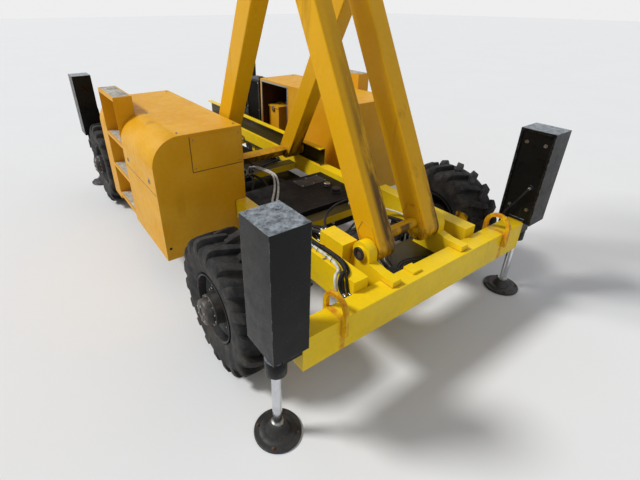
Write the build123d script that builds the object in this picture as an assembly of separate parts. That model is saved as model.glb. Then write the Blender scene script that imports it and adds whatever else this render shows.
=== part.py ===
from build123d import *
import math
import os

# Self-propelled rough-terrain scissor lift, raised, standing on its four levelling jacks.
# Millimetres. X is across the machine, Y along it with the near end at -Y, Z up.
# The origin is on the ground at the middle of the machine.

# Undercarriage, over the jack covers
OVERALL_LENGTH = 4200.0
OVERALL_WIDTH = 2250.0

# Scissor stack
LEVELS = 4
ARM_LENGTH = 3700.0
ARM_DEPTH = 160.0
ARM_WIDTH = 125.0
ARM_EDGE_RADIUS = 9.0
REST_ANGLE = 62.2
INNER_ARM_X = 137.0
ARM_GAP = 35.0
FOOT_PIN_FROM_END = 320.0
FOOT_PIN_Z = 725.0
PIN_RADIUS = 32.0
MID_PIN_RADIUS = 38.0
PIN_CLEARANCE = 0.3
COLLAR_RADIUS = 50.0
COLLAR_GAP = 2.0
PIN_HEAD = 8.0
PIN_HEAD_RADIUS = 46.0
TIE_TUBE = 70.0
FOOT_TIE_RADIUS = 34.0
FOOT_TIE_FROM_PIN = 45.0
HEAD_TIE_FROM_PIN = 170.0
UNDERSLUNG_TIE_DROP = 112.0
DOUBLER_THICK = 10.0
DOUBLER_HALF_WIDTH = 62.0
DOUBLER_SHOULDER = 120.0
DOUBLER_POINT = 168.0

# Guide rails for the sliding feet, the channels under the platform, and their rollers
RAIL_HEIGHT = 160.0
RAIL_FLANGE = 10.0
RAIL_WEB = 8.0
RAIL_DEPTH = 58.0
RAIL_LIP_GAP = 15.0
RAIL_NEAR_Y = -430.0
RAIL_END_INSET = 105.0
ROLLER_GAP = 0.5
ROLLER_WIDTH = 40.0
ROLLER_PIN_END = 2.0
FOOT_ROLLER_INSET = 1.0
HEAD_ROLLER_INSET = 6.0
CHANNEL_HEIGHT = 140.0
CHANNEL_LIP_INSET = 7.0
CHANNEL_NEAR_Y = -380.0

# Lift cylinders between pairs of levels
CYLINDER_FOOT_ALONG = 1350.0
CYLINDER_SPAN = 1500.0
CYLINDER_FOOT_RISE = 30.0
CYLINDER_HEAD_DROP = 50.0
CYLINDER_RADIUS = 60.0
CYLINDER_GLAND = 80.0
ROD_RADIUS = 32.0
ROD_CLEARANCE = 0.3
EYE_RADIUS = 42.0
EYE_PIN_RADIUS = 20.0
EYE_HALF_WIDTH = 32.0
EYE_SIDE_GAP = 3.0
EYE_NECK = 60.0
EYE_NECK_HEIGHT = 60.0
EYE_FOOT_TIE_OFFSET = 90.0
EYE_HEAD_TIE_ALONG = 75.0
EYE_HEAD_TIE_RISE = 60.0
EYE_HEAD_TIE_TUBE = 60.0
EYE_HEAD_EAR_LOW_INSET = 5.0
EYE_HEAD_EAR_HIGH_INSET = 10.0
EYE_PLATE = 14.0
BARREL_LENGTH = 1370.0
ROD_TUCK = 820.0

# Chassis
CHASSIS_RAIL_X = 430.0
CHASSIS_RAIL_WIDTH = 100.0
CHASSIS_RAIL_HEIGHT = 140.0
RAISED_RAIL_HEIGHT = 55.0
RAISED_RAIL_LENGTH = 793.0
MEMBERS = (  # what a plate or beam between the rails is placed from, distance, length, thickness
    ("near beam", 0.0, 303.0, 30.0),
    ("near axle", 280.0, 100.0, 60.0),
    ("middle", -60.0, 120.0, 60.0),
    ("far axle", -400.0, 100.0, 60.0),
    ("far beam", -183.0, 100.0, 60.0),
)
BEAM_END_GAP = 2.0
BEAM_DEPTH = 115.0
BEAM_HEIGHT = 200.0
BEAM_TOP_Z = 634.0
BEAM_FACE_INSET = 42.0
LUG_X = 270.0
LUG_WIDTH = 62.0
LUG_RADIUS = 68.0
LUG_BASE_RISE = 20.0
LUG_BASE_LENGTH = 110.0
LUG_NECK_DROP = 40.0
LUG_TOE_LENGTH = 88.0
LUG_TOE_TOP = 36.0
FOOT_PIN_NUT = 14.0
FOOT_PIN_NUT_RADIUS = 40.0
VALVE_BOX_X = (285.0, 395.0)
VALVE_BOX_FROM_BEAM = (248.0, 456.0)
VALVE_BOX_TOP = 750.0
BEAM_TAB_X = (-150.0, -80.0)
BEAM_TAB_LENGTH = 76.0
BEAM_TAB_HEIGHT = 16.0
LIFT_RING_X = 700.0
LIFT_RING_RADIUS = 88.0
LIFT_RING_BAR = 26.0
LIFT_RING_THICK = 24.0
LIFT_RING_RISE = 33.0
LIFT_RING_LEG = 95.0
SHEET = 5.0

# Jacks
JACK_INSET_X = 80.0
JACK_INSET_Y = 111.0
JACK_COVER_WIDTH = 187.0
JACK_COVER_DEPTH = 222.0
JACK_COVER_BOTTOM = 626.0
JACK_COVER_TOP = 1267.0
JACK_BACK_INSET = 12.0
JACK_TUBE_RADIUS = 44.0
JACK_TUBE_BOTTOM = 450.0
JACK_GLAND_RADIUS = 54.0
JACK_GLAND_HEIGHT = 90.0
JACK_BRACKET_HEIGHT = 112.0
JACK_ROD_RADIUS = 25.0
JACK_ROD_TOP = 800.0
JACK_PAD_RADIUS = 125.0
JACK_PAD_THICK = 16.0
JACK_PAD_HUB_TOP = 78.0
JACK_PAD_HUB_RADII = (60.0, 38.0)

# Wheels and axles
TYRE_RADIUS = 425.0
TYRE_WIDTH = 300.0
TYRE_INSET = 10.0
TYRE_LIFT = 3.0
TYRE_FACETS = 36
TYRE_RINGS = (  # distance out from the tyre's middle, radius there
    (150.0, 300.0),
    (150.0, 345.0),
    (122.0, 384.0),
)
LUGS_PER_SIDE = 18
LUG_BAR_WIDTH = 50.0
LUG_BAR_TOP = 421.0
LUG_BAR_ANGLE = 24.0
LUG_BAR_MIDDLE = 66.0
LUG_BAR_OUTLINE = (  # distance along the bar, height above the wheel's middle
    (-82.0, 372.0),
    (-74.0, LUG_BAR_TOP),
    (58.0, LUG_BAR_TOP),
    (90.0, 366.0),
    (90.0, 332.0),
    (-60.0, 350.0),
)
RIM_RADIUS = 210.0
RIM_INSET = 15.0
RIM_WALL = 14.0
BEAD_GAP = 0.5
DISC_DEPTH = 80.0
DISC_THICK = 16.0
HUB_RADIUS = 100.0
HUB_CAP_RADIUS = 82.0
HUB_PROUD = 40.0
WHEEL_FROM_END = 700.0
HUB_FACE_INSET = 275.0
KINGPIN_INSET = 350.0
KINGPIN_RADIUS = 24.0
KNUCKLE_POST_RADIUS = 40.0
KNUCKLE_HALF_HEIGHT = 84.0
FORK_GAP = 2.0
FORK_PLATE = 24.0
STEER_ARM = 150.0
AXLE_RADIUS = 62.0
AXLE_BOWL_RADIUS = 118.0
AXLE_BOWL_WIDTH = 96.0
AXLE_SEAT_HALF = 70.0
AXLE_SEAT_INSET = 5.0

# Side hoods. Both are one width; the right one stands further out and is longer.
HOOD_TOP = 1215.0
HOOD_BOTTOM = 318.0
HOOD_NEAR_Y = -633.0
HOOD_FROM_RAIL_LIP = 9.0
HOOD_LEFT_INSET = 25.0
HOOD_LEFT_FROM_TYRE = 108.0
HOOD_RIGHT_OUTSET = 176.0
HOOD_RIGHT_FROM_TYRE = 25.0
HOOD_STEP_FROM_CHASSIS = 15.0
HOOD_STEP_Z = 830.0
HOOD_CORNER_RADIUS = 200.0
HOOD_SEAT_GAP = 0.3
HOOD_CLEARANCE = 5.0
HATCH_FROM_FAR_END = 35.0
HATCH_LENGTH = 505.0
HATCH_LOW_Z = 700.0
HATCH_HIGH_Z = 1185.0
BEARER_Y = (-400.0, 90.0)
LAST_BEARER_FROM_HOOD_END = 77.0
BEARER_SIZE = 60.0
STEP_LEFT_NEAR_Y = 140.0
STEP_RIGHT_NEAR_Y = -100.0
STEP_LENGTH = 500.0
STEP_DEPTH = 140.0
STEP_TOP = 1344.0
STEP_TREAD_THICK = 30.0
STEP_TREAD_Z = (390.0, 685.0, 980.0)

# Cooler beyond the right hood, and the box behind the hatch
COOLER_FROM_TYRE = 15.0
COOLER_FROM_HOOD = 25.0
COOLER_FROM_CHASSIS = 110.0
COOLER_LENGTH = 295.0
COOLER_TOP = 1190.0
COOLER_FRAME = 24.0
COOLER_RECESS = 26.0
COOLER_FINS = 9
COOLER_FIN_THICK = 7.0
COOLER_FIN_DEPTH = 20.0
HATCH_BOX_FROM_HOOD = 73.0
HATCH_BOX_WIDTH = 230.0
HATCH_BOX_LENGTH = 200.0
HATCH_BOX_TOP = 930.0
HATCH_BOX_LID = 22.0
HATCH_BOX_LID_EDGE = 8.0

# Hydraulic hoses that lie on the frame
HOSE_RADIUS = 9.0
HOSE_GAP = 0.3
HOSES_BESIDE_RAIL = (14.0, 42.0)
JACK_HOSE_RADIUS = 7.0

# Engine, as one plain block, and the tank between the chassis rails
ENGINE_FROM_HOOD = 43.0
ENGINE_FROM_STEPS = 111.0
ENGINE_Y = (-480.0, 125.0)
ENGINE_TOP = 1040.0
TANK_FROM_MEMBER = 20.0
TANK_FAR_Y = -450.0
TANK_Z = (360.0, 600.0)

# Platform
DECK_LENGTH = 4000.0
DECK_WIDTH = 1860.0
DECK_OVER_PIN = 235.0
DECK_PLATE = 8.0
DECK_CLEAR = 125.0
DECK_FRAME_HEIGHT = 80.0
DECK_EDGE_BEAM = 60.0
DECK_MEMBERS = 6
DECK_MEMBER_WIDTH = 60.0
PIVOT_LUG_X = (200.0, 240.0)
PIVOT_LUG_RADIUS = 60.0
RAILING_HEIGHT = 1100.0
RAILING_TUBE = 42.0
RAILING_INSET = 25.0
RAILING_BAY = 1300.0
TOE_BOARD_HEIGHT = 150.0
TOE_BOARD_THICK = 8.0
EXTENSION_LENGTH = 1350.0
EXTENSION_GAP = 6.0
EXTENSION_INSET_X = 45.0
EXTENSION_INSET_Y = 10.0
EXTENSION_RUNNER = 40.0
GATE_WIDTH = 620.0
GATE_BAR = 30.0
GATE_LATCH_GAP = 6.0
GATE_LOW = 45.0
CONTROL_BOX_SIZE = (150.0, 260.0, 190.0)
CONTROL_BOX_FROM_GATE = 1195.0
LEVER_HEIGHT = 70.0
LEVER_RADIUS = 14.0
ANCHOR_BORE_RADIUS = 14.0
ANCHOR_PLATE = 12.0
ANCHOR_SIZE = 80.0
ANCHOR_FROM_GATE = 555.0
ANCHOR_BORE_DROP = 50.0

# Places worked out from the sizes above
rest = math.radians(REST_ANGLE)
level_rise = ARM_LENGTH * math.sin(rest)
foot_pin_y = FOOT_PIN_FROM_END - OVERALL_LENGTH / 2
slider_y = foot_pin_y + ARM_LENGTH * math.cos(rest)
mid_y = (foot_pin_y + slider_y) / 2
top_pin_z = FOOT_PIN_Z + LEVELS * level_rise
inner_face = INNER_ARM_X + ARM_WIDTH
outer_arm_x = inner_face + ARM_GAP
outer_face = outer_arm_x + ARM_WIDTH
rail_lip_x = outer_face + RAIL_LIP_GAP
rail_far_y = OVERALL_LENGTH / 2 - RAIL_END_INSET
channel_lip_x = INNER_ARM_X - CHANNEL_LIP_INSET
foot_roller_radius = (RAIL_HEIGHT - 2 * RAIL_FLANGE) / 2 - ROLLER_GAP
head_roller_radius = (CHANNEL_HEIGHT - 2 * RAIL_FLANGE) / 2 - ROLLER_GAP
rail_bottom_z = FOOT_PIN_Z - RAIL_HEIGHT / 2
chassis_floor_z = rail_bottom_z - CHASSIS_RAIL_HEIGHT
chassis_outer_x = CHASSIS_RAIL_X + CHASSIS_RAIL_WIDTH
wheel_z = TYRE_RADIUS + TYRE_LIFT
beam_bottom_z = BEAM_TOP_Z - BEAM_HEIGHT
beam_face_y = OVERALL_LENGTH / 2 - BEAM_FACE_INSET
beam_inner_y = beam_face_y - BEAM_DEPTH
jack_x = OVERALL_WIDTH / 2 - JACK_INSET_X
jack_y = OVERALL_LENGTH / 2 - JACK_INSET_Y
jack_cover_inner_x = OVERALL_WIDTH / 2 - JACK_COVER_WIDTH
beam_half_length = jack_cover_inner_x + BEAM_END_GAP
wheel_y = OVERALL_LENGTH / 2 - WHEEL_FROM_END
member_places = {
    "near beam": -beam_inner_y,
    "near axle": -wheel_y,
    "middle": 0.0,
    "far axle": wheel_y,
    "far beam": beam_inner_y,
}
members = [(member_places[place] + start, member_places[place] + start + length, thick)
           for place, start, length, thick in MEMBERS]
valve_box_y = [distance - beam_inner_y for distance in VALVE_BOX_FROM_BEAM]
tank_near_y = members[1][1] + TANK_FROM_MEMBER
tyre_outer_x = OVERALL_WIDTH / 2 - TYRE_INSET
tyre_middle_x = tyre_outer_x - TYRE_WIDTH / 2
hub_inner_x = OVERALL_WIDTH / 2 - HUB_FACE_INSET
kingpin_x = OVERALL_WIDTH / 2 - KINGPIN_INSET
fork_inner = KNUCKLE_HALF_HEIGHT + FORK_GAP
hood_left_outer_x = OVERALL_WIDTH / 2 - HOOD_LEFT_INSET
hood_right_outer_x = OVERALL_WIDTH / 2 + HOOD_RIGHT_OUTSET
hood_left_inner_x = rail_lip_x + HOOD_FROM_RAIL_LIP
hood_width = hood_left_outer_x - hood_left_inner_x
hood_right_inner_x = hood_right_outer_x - hood_width
hood_left_far_y = wheel_y - TYRE_RADIUS - HOOD_LEFT_FROM_TYRE
hood_right_far_y = wheel_y - TYRE_RADIUS - HOOD_RIGHT_FROM_TYRE
hood_step_x = chassis_outer_x + HOOD_STEP_FROM_CHASSIS
bearer_y = BEARER_Y + (hood_left_far_y - LAST_BEARER_FROM_HOOD_END,)
cooler_inner_x = chassis_outer_x + COOLER_FROM_CHASSIS
cooler_outer_x = tyre_outer_x - TYRE_WIDTH - COOLER_FROM_TYRE
cooler_near_y = hood_right_far_y + COOLER_FROM_HOOD
deck_near_y = foot_pin_y - DECK_OVER_PIN
deck_far_y = deck_near_y + DECK_LENGTH
deck_under_z = top_pin_z + DECK_CLEAR
deck_plate_z = deck_under_z + DECK_FRAME_HEIGHT
deck_top_z = deck_plate_z + DECK_PLATE
railing_x = DECK_WIDTH / 2 - RAILING_INSET
railing_near_y = deck_near_y + RAILING_INSET
railing_face_x = railing_x - RAILING_TUBE / 2


def block(x0, x1, y0, y1, z0, z1):
    """A box between six planes."""
    size = Box(abs(x1 - x0), abs(y1 - y0), abs(z1 - z0))
    return Pos((x0 + x1) / 2, (y0 + y1) / 2, (z0 + z1) / 2) * size


def rod_x(x0, x1, y, z, radius):
    """A cylinder along X from x0 to x1."""
    return Pos((x0 + x1) / 2, y, z) * Rot(0, 90, 0) * Cylinder(radius, abs(x1 - x0))


def rod_y(y0, y1, radius):
    """A cylinder along the Y axis from y0 to y1."""
    return Pos(0, (y0 + y1) / 2, 0) * Rot(90, 0, 0) * Cylinder(radius, abs(y1 - y0))


def rod_z(x, y, z0, z1, radius):
    """A cylinder along Z from z0 to z1."""
    return Pos(x, y, (z0 + z1) / 2) * Cylinder(radius, abs(z1 - z0))


def plate_yz(points, x0, x1):
    """A flat plate drawn as a (y, z) outline and given its thickness along X."""
    face = Plane.YZ * Polygon(*points, align=None)
    return Pos(x0, 0, 0) * extrude(face, x1 - x0)


def both_sides(shape):
    """The shape and its mirror image across the machine's middle plane."""
    return [shape, mirror(shape, Plane.YZ)]


def fused(pieces):
    """One solid, or one compound, from a list of shapes."""
    first = pieces[0]
    return first.fuse(*pieces[1:]).clean() if len(pieces) > 1 else first


def save(shape, name):
    """Write one node."""
    export_step(shape, f"parts/{name}.step")


# Scissor arms. Each pair is drawn lying along +Y from its foot pin, then turned to its angle.

def arm_bars(inner_x):
    """Two rectangular tubes with soft edges and round ends about their pins, one each side."""
    half = ARM_DEPTH / 2
    bar = block(inner_x, inner_x + ARM_WIDTH, 0, ARM_LENGTH, -half, half)
    bar = fillet(bar.edges().filter_by(Axis.Y), ARM_EDGE_RADIUS)
    for along in (0, ARM_LENGTH):
        end = rod_x(inner_x, inner_x + ARM_WIDTH, along, 0, half)
        rims = end.edges().filter_by(GeomType.CIRCLE)
        bar += fillet(rims, ARM_EDGE_RADIUS)
    return both_sides(bar)


def tie(along, offset, half_width, size=TIE_TUBE):
    """A square tube across the pair, at a distance along the arms and off their centre line."""
    half = size / 2
    return block(-half_width, half_width, along - half, along + half, offset - half, offset + half)


def doublers(inner_x):
    """Pointed plates welded round a fixed foot's pin, on the inner faces of both arms."""
    outline = [
        (0, -DOUBLER_HALF_WIDTH),
        (DOUBLER_SHOULDER, -DOUBLER_HALF_WIDTH),
        (DOUBLER_POINT, 0),
        (DOUBLER_SHOULDER, DOUBLER_HALF_WIDTH),
        (0, DOUBLER_HALF_WIDTH),
    ]
    inside = plate_yz(outline, inner_x - DOUBLER_THICK, inner_x)
    inside += rod_x(inner_x - DOUBLER_THICK, inner_x, 0, 0, DOUBLER_HALF_WIDTH)
    return both_sides(inside)


def foot_ears(along, offset, tie_offset):
    """Two round-ended ears that stand on a tie and hold a barrel's eye between them."""
    inner = EYE_HALF_WIDTH + EYE_SIDE_GAP
    outer = inner + EYE_PLATE
    ear = block(inner, outer, along - EYE_RADIUS, along + EYE_RADIUS, tie_offset, offset)
    ear += rod_x(inner, outer, along, offset, EYE_RADIUS)
    return both_sides(ear)


def head_ears(along, offset):
    """Two ears that reach back from a tie to a rod's eye, clear of the eye's sweep."""
    inner = EYE_HALF_WIDTH + EYE_SIDE_GAP
    outer = inner + EYE_PLATE
    reach = EYE_RADIUS / math.sqrt(2)
    tie_along = along + EYE_HEAD_TIE_ALONG
    tie_offset = offset + EYE_HEAD_TIE_RISE
    half = EYE_HEAD_TIE_TUBE / 2
    outline = [
        (along - reach, offset + reach),
        (along + reach, offset - reach),
        (tie_along + half - EYE_HEAD_EAR_LOW_INSET, tie_offset - half),
        (tie_along - half + EYE_HEAD_EAR_HIGH_INSET, tie_offset + half),
    ]
    ear = plate_yz(outline, inner, outer) + rod_x(inner, outer, along, offset, EYE_RADIUS)
    return [tie(tie_along, tie_offset, INNER_ARM_X, EYE_HEAD_TIE_TUBE)] + both_sides(ear)


def underslung_tie():
    """The top pair's head tie, hung below the arms so that it clears the roller channels."""
    along = ARM_LENGTH - HEAD_TIE_FROM_PIN
    half = TIE_TUBE / 2
    bracket = block(INNER_ARM_X, inner_face, along - half, along + half, -UNDERSLUNG_TIE_DROP, 0)
    return [tie(along, -UNDERSLUNG_TIE_DROP, inner_face)] + both_sides(bracket)


def inner_pair(level):
    """The inner arms of one level, with their ties, mid pins and cylinder ears."""
    top_level = level == LEVELS - 1
    middle = ARM_LENGTH / 2
    pieces = arm_bars(INNER_ARM_X)
    if level == 0:
        pieces.append(rod_x(-INNER_ARM_X, INNER_ARM_X, FOOT_TIE_FROM_PIN, 0, FOOT_TIE_RADIUS))
        pieces += doublers(INNER_ARM_X)
    else:
        pieces.append(tie(HEAD_TIE_FROM_PIN, 0, INNER_ARM_X))
    if top_level:
        pieces += underslung_tie()
    else:
        pieces.append(tie(ARM_LENGTH - HEAD_TIE_FROM_PIN, 0, INNER_ARM_X))
    if level % 2 == 0:
        foot = middle + CYLINDER_FOOT_ALONG
        tie_offset = CYLINDER_FOOT_RISE - EYE_FOOT_TIE_OFFSET
        pin_end = EYE_HALF_WIDTH + EYE_SIDE_GAP + 1
        pieces.append(tie(middle, 0, INNER_ARM_X))
        pieces.append(tie(foot, tie_offset, INNER_ARM_X))
        pieces += foot_ears(foot, CYLINDER_FOOT_RISE, tie_offset)
        pieces.append(rod_x(-pin_end, pin_end, foot, CYLINDER_FOOT_RISE, EYE_PIN_RADIUS))
    else:
        pieces += head_ears(middle + CYLINDER_FOOT_ALONG - CYLINDER_SPAN, -CYLINDER_HEAD_DROP)
    pieces += both_sides(rod_x(inner_face, outer_face + PIN_HEAD, middle, 0, MID_PIN_RADIUS))
    pieces += both_sides(rod_x(inner_face, outer_arm_x - COLLAR_GAP, middle, 0, COLLAR_RADIUS))
    if top_level:
        roller_x = channel_lip_x - HEAD_ROLLER_INSET
        roller_end = roller_x - ROLLER_WIDTH
        pieces += both_sides(rod_x(roller_end - ROLLER_PIN_END, INNER_ARM_X, ARM_LENGTH, 0, PIN_RADIUS))
        pieces += both_sides(rod_x(roller_end, roller_x, ARM_LENGTH, 0, head_roller_radius))
    solid = fused(pieces)
    bore_inner = INNER_ARM_X - DOUBLER_THICK - 1
    for bore in both_sides(rod_x(bore_inner, inner_face + 5, 0, 0, PIN_RADIUS + PIN_CLEARANCE)):
        solid -= bore
        if not top_level:
            solid -= Pos(0, ARM_LENGTH, 0) * bore
    return solid


def outer_pair(level):
    """The outer arms of one level, joined by the shafts through their ends."""
    pieces = arm_bars(outer_arm_x)
    shaft_x = outer_face + PIN_HEAD
    ends = [ARM_LENGTH] if level == 0 else [0.0, ARM_LENGTH]
    for along in ends:
        pieces.append(rod_x(-shaft_x, shaft_x, along, 0, PIN_RADIUS))
        pieces += both_sides(rod_x(outer_face, shaft_x, along, 0, PIN_HEAD_RADIUS))
        pieces += both_sides(rod_x(inner_face + COLLAR_GAP, outer_arm_x, along, 0, COLLAR_RADIUS))
    if level == 0:
        roller_x = rail_lip_x + FOOT_ROLLER_INSET
        pieces.append(tie(0, 0, outer_arm_x))
        pieces += both_sides(rod_x(outer_face, roller_x + ROLLER_WIDTH, 0, 0, PIN_RADIUS))
        pieces += both_sides(rod_x(roller_x, roller_x + ROLLER_WIDTH, 0, 0, foot_roller_radius))
    solid = fused(pieces)
    bore_end = outer_face + 20
    return solid - rod_x(-bore_end, bore_end, ARM_LENGTH / 2, 0, MID_PIN_RADIUS + PIN_CLEARANCE)


def scissor():
    """All the arm pairs at the resting angle."""
    for level in range(LEVELS):
        z = FOOT_PIN_Z + level * level_rise
        inner = Pos(0, foot_pin_y, z) * Rot(REST_ANGLE, 0, 0) * inner_pair(level)
        save(inner, f"inner_arms_{level + 1}")
        outer = Pos(0, slider_y, z) * Rot(180 - REST_ANGLE, 0, 0) * outer_pair(level)
        save(outer, f"outer_arms_{level + 1}")


# Lift cylinders, each from an inner pair up to the inner pair above it

def cylinder_ends(level):
    """The two eye centres, as (y, z), of the cylinder that starts on a level."""
    along_y, along_z = math.cos(rest), math.sin(rest)
    foot_z = FOOT_PIN_Z + (level + 0.5) * level_rise
    foot = (mid_y + CYLINDER_FOOT_ALONG * along_y - CYLINDER_FOOT_RISE * along_z,
            foot_z + CYLINDER_FOOT_ALONG * along_z + CYLINDER_FOOT_RISE * along_y)
    head_along = CYLINDER_FOOT_ALONG - CYLINDER_SPAN
    head = (mid_y + head_along * along_y + CYLINDER_HEAD_DROP * along_z,
            foot_z + level_rise + head_along * along_z - CYLINDER_HEAD_DROP * along_y)
    return foot, head


def lift_cylinder(level, name):
    """Barrel and rod, drawn along +Y from the foot eye and turned to their angle."""
    foot, head = cylinder_ends(level)
    length = math.dist(foot, head)
    angle = math.degrees(math.atan2(head[1] - foot[1], head[0] - foot[0]))
    place = Pos(0, foot[0], foot[1]) * Rot(angle, 0, 0)

    tube_start = EYE_RADIUS + EYE_NECK
    neck_half = EYE_NECK_HEIGHT / 2
    tube = rod_y(tube_start, BARREL_LENGTH, CYLINDER_RADIUS)
    gland = rod_y(BARREL_LENGTH - CYLINDER_GLAND, BARREL_LENGTH, CYLINDER_RADIUS + 6)
    eye = rod_x(-EYE_HALF_WIDTH, EYE_HALF_WIDTH, 0, 0, EYE_RADIUS)
    neck = block(-EYE_HALF_WIDTH, EYE_HALF_WIDTH, 0, tube_start + 5, -neck_half, neck_half)
    barrel = fused([tube, gland, eye, neck])
    barrel -= rod_y(tube_start + 20, BARREL_LENGTH + 5, ROD_RADIUS + ROD_CLEARANCE)
    barrel -= rod_x(-EYE_HALF_WIDTH - 5, EYE_HALF_WIDTH + 5, 0, 0, EYE_PIN_RADIUS + PIN_CLEARANCE)
    save(place * barrel, f"{name}_cylinder_barrel")

    pin_end = EYE_HALF_WIDTH + EYE_SIDE_GAP - 1
    rod = rod_y(ROD_TUCK, length, ROD_RADIUS)
    rod_eye = rod_x(-EYE_HALF_WIDTH, EYE_HALF_WIDTH, length, 0, EYE_RADIUS)
    rod_pin = rod_x(-pin_end, pin_end, length, 0, EYE_PIN_RADIUS)
    save(place * fused([rod, rod_eye, rod_pin]), f"{name}_cylinder_rod")


# Chassis

def chassis_frame():
    """Two long rails with raised near ends, the members between them and the lift lugs."""
    rail = block(CHASSIS_RAIL_X, chassis_outer_x, -beam_inner_y, beam_inner_y,
                 chassis_floor_z, rail_bottom_z)
    raised = block(CHASSIS_RAIL_X, chassis_outer_x, -beam_inner_y, RAISED_RAIL_LENGTH - beam_inner_y,
                   rail_bottom_z - 10, rail_bottom_z + RAISED_RAIL_HEIGHT)
    pieces = both_sides(rail) + both_sides(raised)
    half = CHASSIS_RAIL_X + CHASSIS_RAIL_WIDTH / 5
    for near, far, thick in members:
        pieces.append(block(-half, half, near, far, chassis_floor_z, chassis_floor_z + thick))
    pieces += both_sides(lift_lug(chassis_floor_z + LUG_BASE_RISE))
    pieces.append(block(-VALVE_BOX_X[0], -VALVE_BOX_X[1], valve_box_y[0], valve_box_y[1],
                        chassis_floor_z + LUG_BASE_RISE, VALVE_BOX_TOP))
    return fused(pieces)


def lift_lug(base_z):
    """The lug that holds one fixed foot pin, sweeping down onto the near beam."""
    top = FOOT_PIN_Z
    toe_y = -beam_inner_y - LUG_TOE_LENGTH
    outline = [
        (-beam_inner_y, base_z),
        (foot_pin_y + LUG_BASE_LENGTH, base_z),
        (foot_pin_y + LUG_RADIUS, top - LUG_NECK_DROP),
        (foot_pin_y + LUG_RADIUS, top),
        (foot_pin_y - LUG_RADIUS, top),
        (foot_pin_y - LUG_RADIUS, top - LUG_NECK_DROP),
        (-beam_inner_y + LUG_BASE_RISE, BEAM_TOP_Z + LUG_TOE_TOP),
        (-beam_inner_y, BEAM_TOP_Z + LUG_TOE_TOP),
        (toe_y, BEAM_TOP_Z + LUG_TOE_TOP),
        (toe_y, BEAM_TOP_Z),
        (-beam_inner_y, BEAM_TOP_Z),
    ]
    plate = plate_yz(outline, LUG_X, LUG_X + LUG_WIDTH)
    pin_end = LUG_X + LUG_WIDTH + FOOT_PIN_NUT
    round_top = rod_x(LUG_X, LUG_X + LUG_WIDTH, foot_pin_y, top, LUG_RADIUS)
    pin = rod_x(INNER_ARM_X + 3, pin_end, foot_pin_y, top, PIN_RADIUS)
    nut = rod_x(LUG_X + LUG_WIDTH, pin_end, foot_pin_y, top, FOOT_PIN_NUT_RADIUS)
    return fused([plate, round_top, pin, nut])


def bearer(y, end):
    """One square tube under a chassis rail, drawn on the +X side, out to where it ends."""
    half = BEARER_SIZE / 2
    return block(CHASSIS_RAIL_X, end, y - half, y + half, chassis_floor_z - BEARER_SIZE, chassis_floor_z)


def bearer_end(y, hood_x, step_near_y):
    """Where a bearer stops: at the hood's side, or at the back of the steps in front of it."""
    half = BEARER_SIZE / 2
    if step_near_y - half < y < step_near_y + STEP_LENGTH + half:
        return hood_x - STEP_DEPTH
    return hood_x - SHEET - HOOD_SEAT_GAP


def hood_bearers():
    """Square tubes under the chassis rails that carry the side hoods and the cooler."""
    bars = []
    for y in bearer_y:
        left = bearer(y, bearer_end(y, hood_left_outer_x, STEP_LEFT_NEAR_Y))
        bars.append(mirror(left, Plane.YZ))
        bars.append(bearer(y, bearer_end(y, hood_right_outer_x, STEP_RIGHT_NEAR_Y)))
    bars.append(bearer(cooler_near_y + COOLER_LENGTH / 2, cooler_outer_x))
    return Compound(bars)


def lift_ring(x, middle_y):
    """A bent bar with straight legs, welded over the beam for the crane's hook."""
    low, high = x - LIFT_RING_THICK / 2, x + LIFT_RING_THICK / 2
    centre_z = BEAM_TOP_Z + LIFT_RING_RISE
    hole = LIFT_RING_RADIUS - LIFT_RING_BAR
    ring = rod_x(low, high, middle_y, centre_z, LIFT_RING_RADIUS)
    ring += block(low, high, middle_y - LIFT_RING_RADIUS, middle_y + LIFT_RING_RADIUS,
                  BEAM_TOP_Z - LIFT_RING_LEG, centre_z)
    ring -= rod_x(low - 5, high + 5, middle_y, centre_z, hole)
    return ring - block(low - 5, high + 5, middle_y - hole, middle_y + hole, BEAM_TOP_Z, centre_z)


def cross_beam(sign):
    """The end beam that carries two jacks, with its lifting rings."""
    outer_y = sign * beam_face_y
    inner_y = sign * beam_inner_y
    pieces = [block(-beam_half_length, beam_half_length, outer_y, inner_y, beam_bottom_z, BEAM_TOP_Z)]
    for side in (-1, 1):
        pieces.append(lift_ring(side * LIFT_RING_X, (outer_y + inner_y) / 2))
    return fused(pieces)


def beam_tab():
    """The pad on top of the near beam, between the lugs of the foot pins."""
    return block(BEAM_TAB_X[0], BEAM_TAB_X[1], -beam_inner_y - BEAM_TAB_LENGTH, -beam_inner_y,
                 BEAM_TOP_Z, BEAM_TOP_Z + BEAM_TAB_HEIGHT)


def c_channel(lip_x, near_y, far_y, centre_z, height, web_side):
    """A C-channel for a roller. web_side is the side, along X, on which its web lies."""
    far_x = lip_x + web_side * RAIL_DEPTH
    web_x = far_x - web_side * RAIL_WEB
    low = centre_z - height / 2
    high = centre_z + height / 2
    hollow = block(lip_x - web_side * 10, web_x, near_y - 10, far_y + 10,
                   low + RAIL_FLANGE, high - RAIL_FLANGE)
    return block(lip_x, far_x, near_y, far_y, low, high) - hollow


# Side hoods, drawn on the +X side

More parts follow.
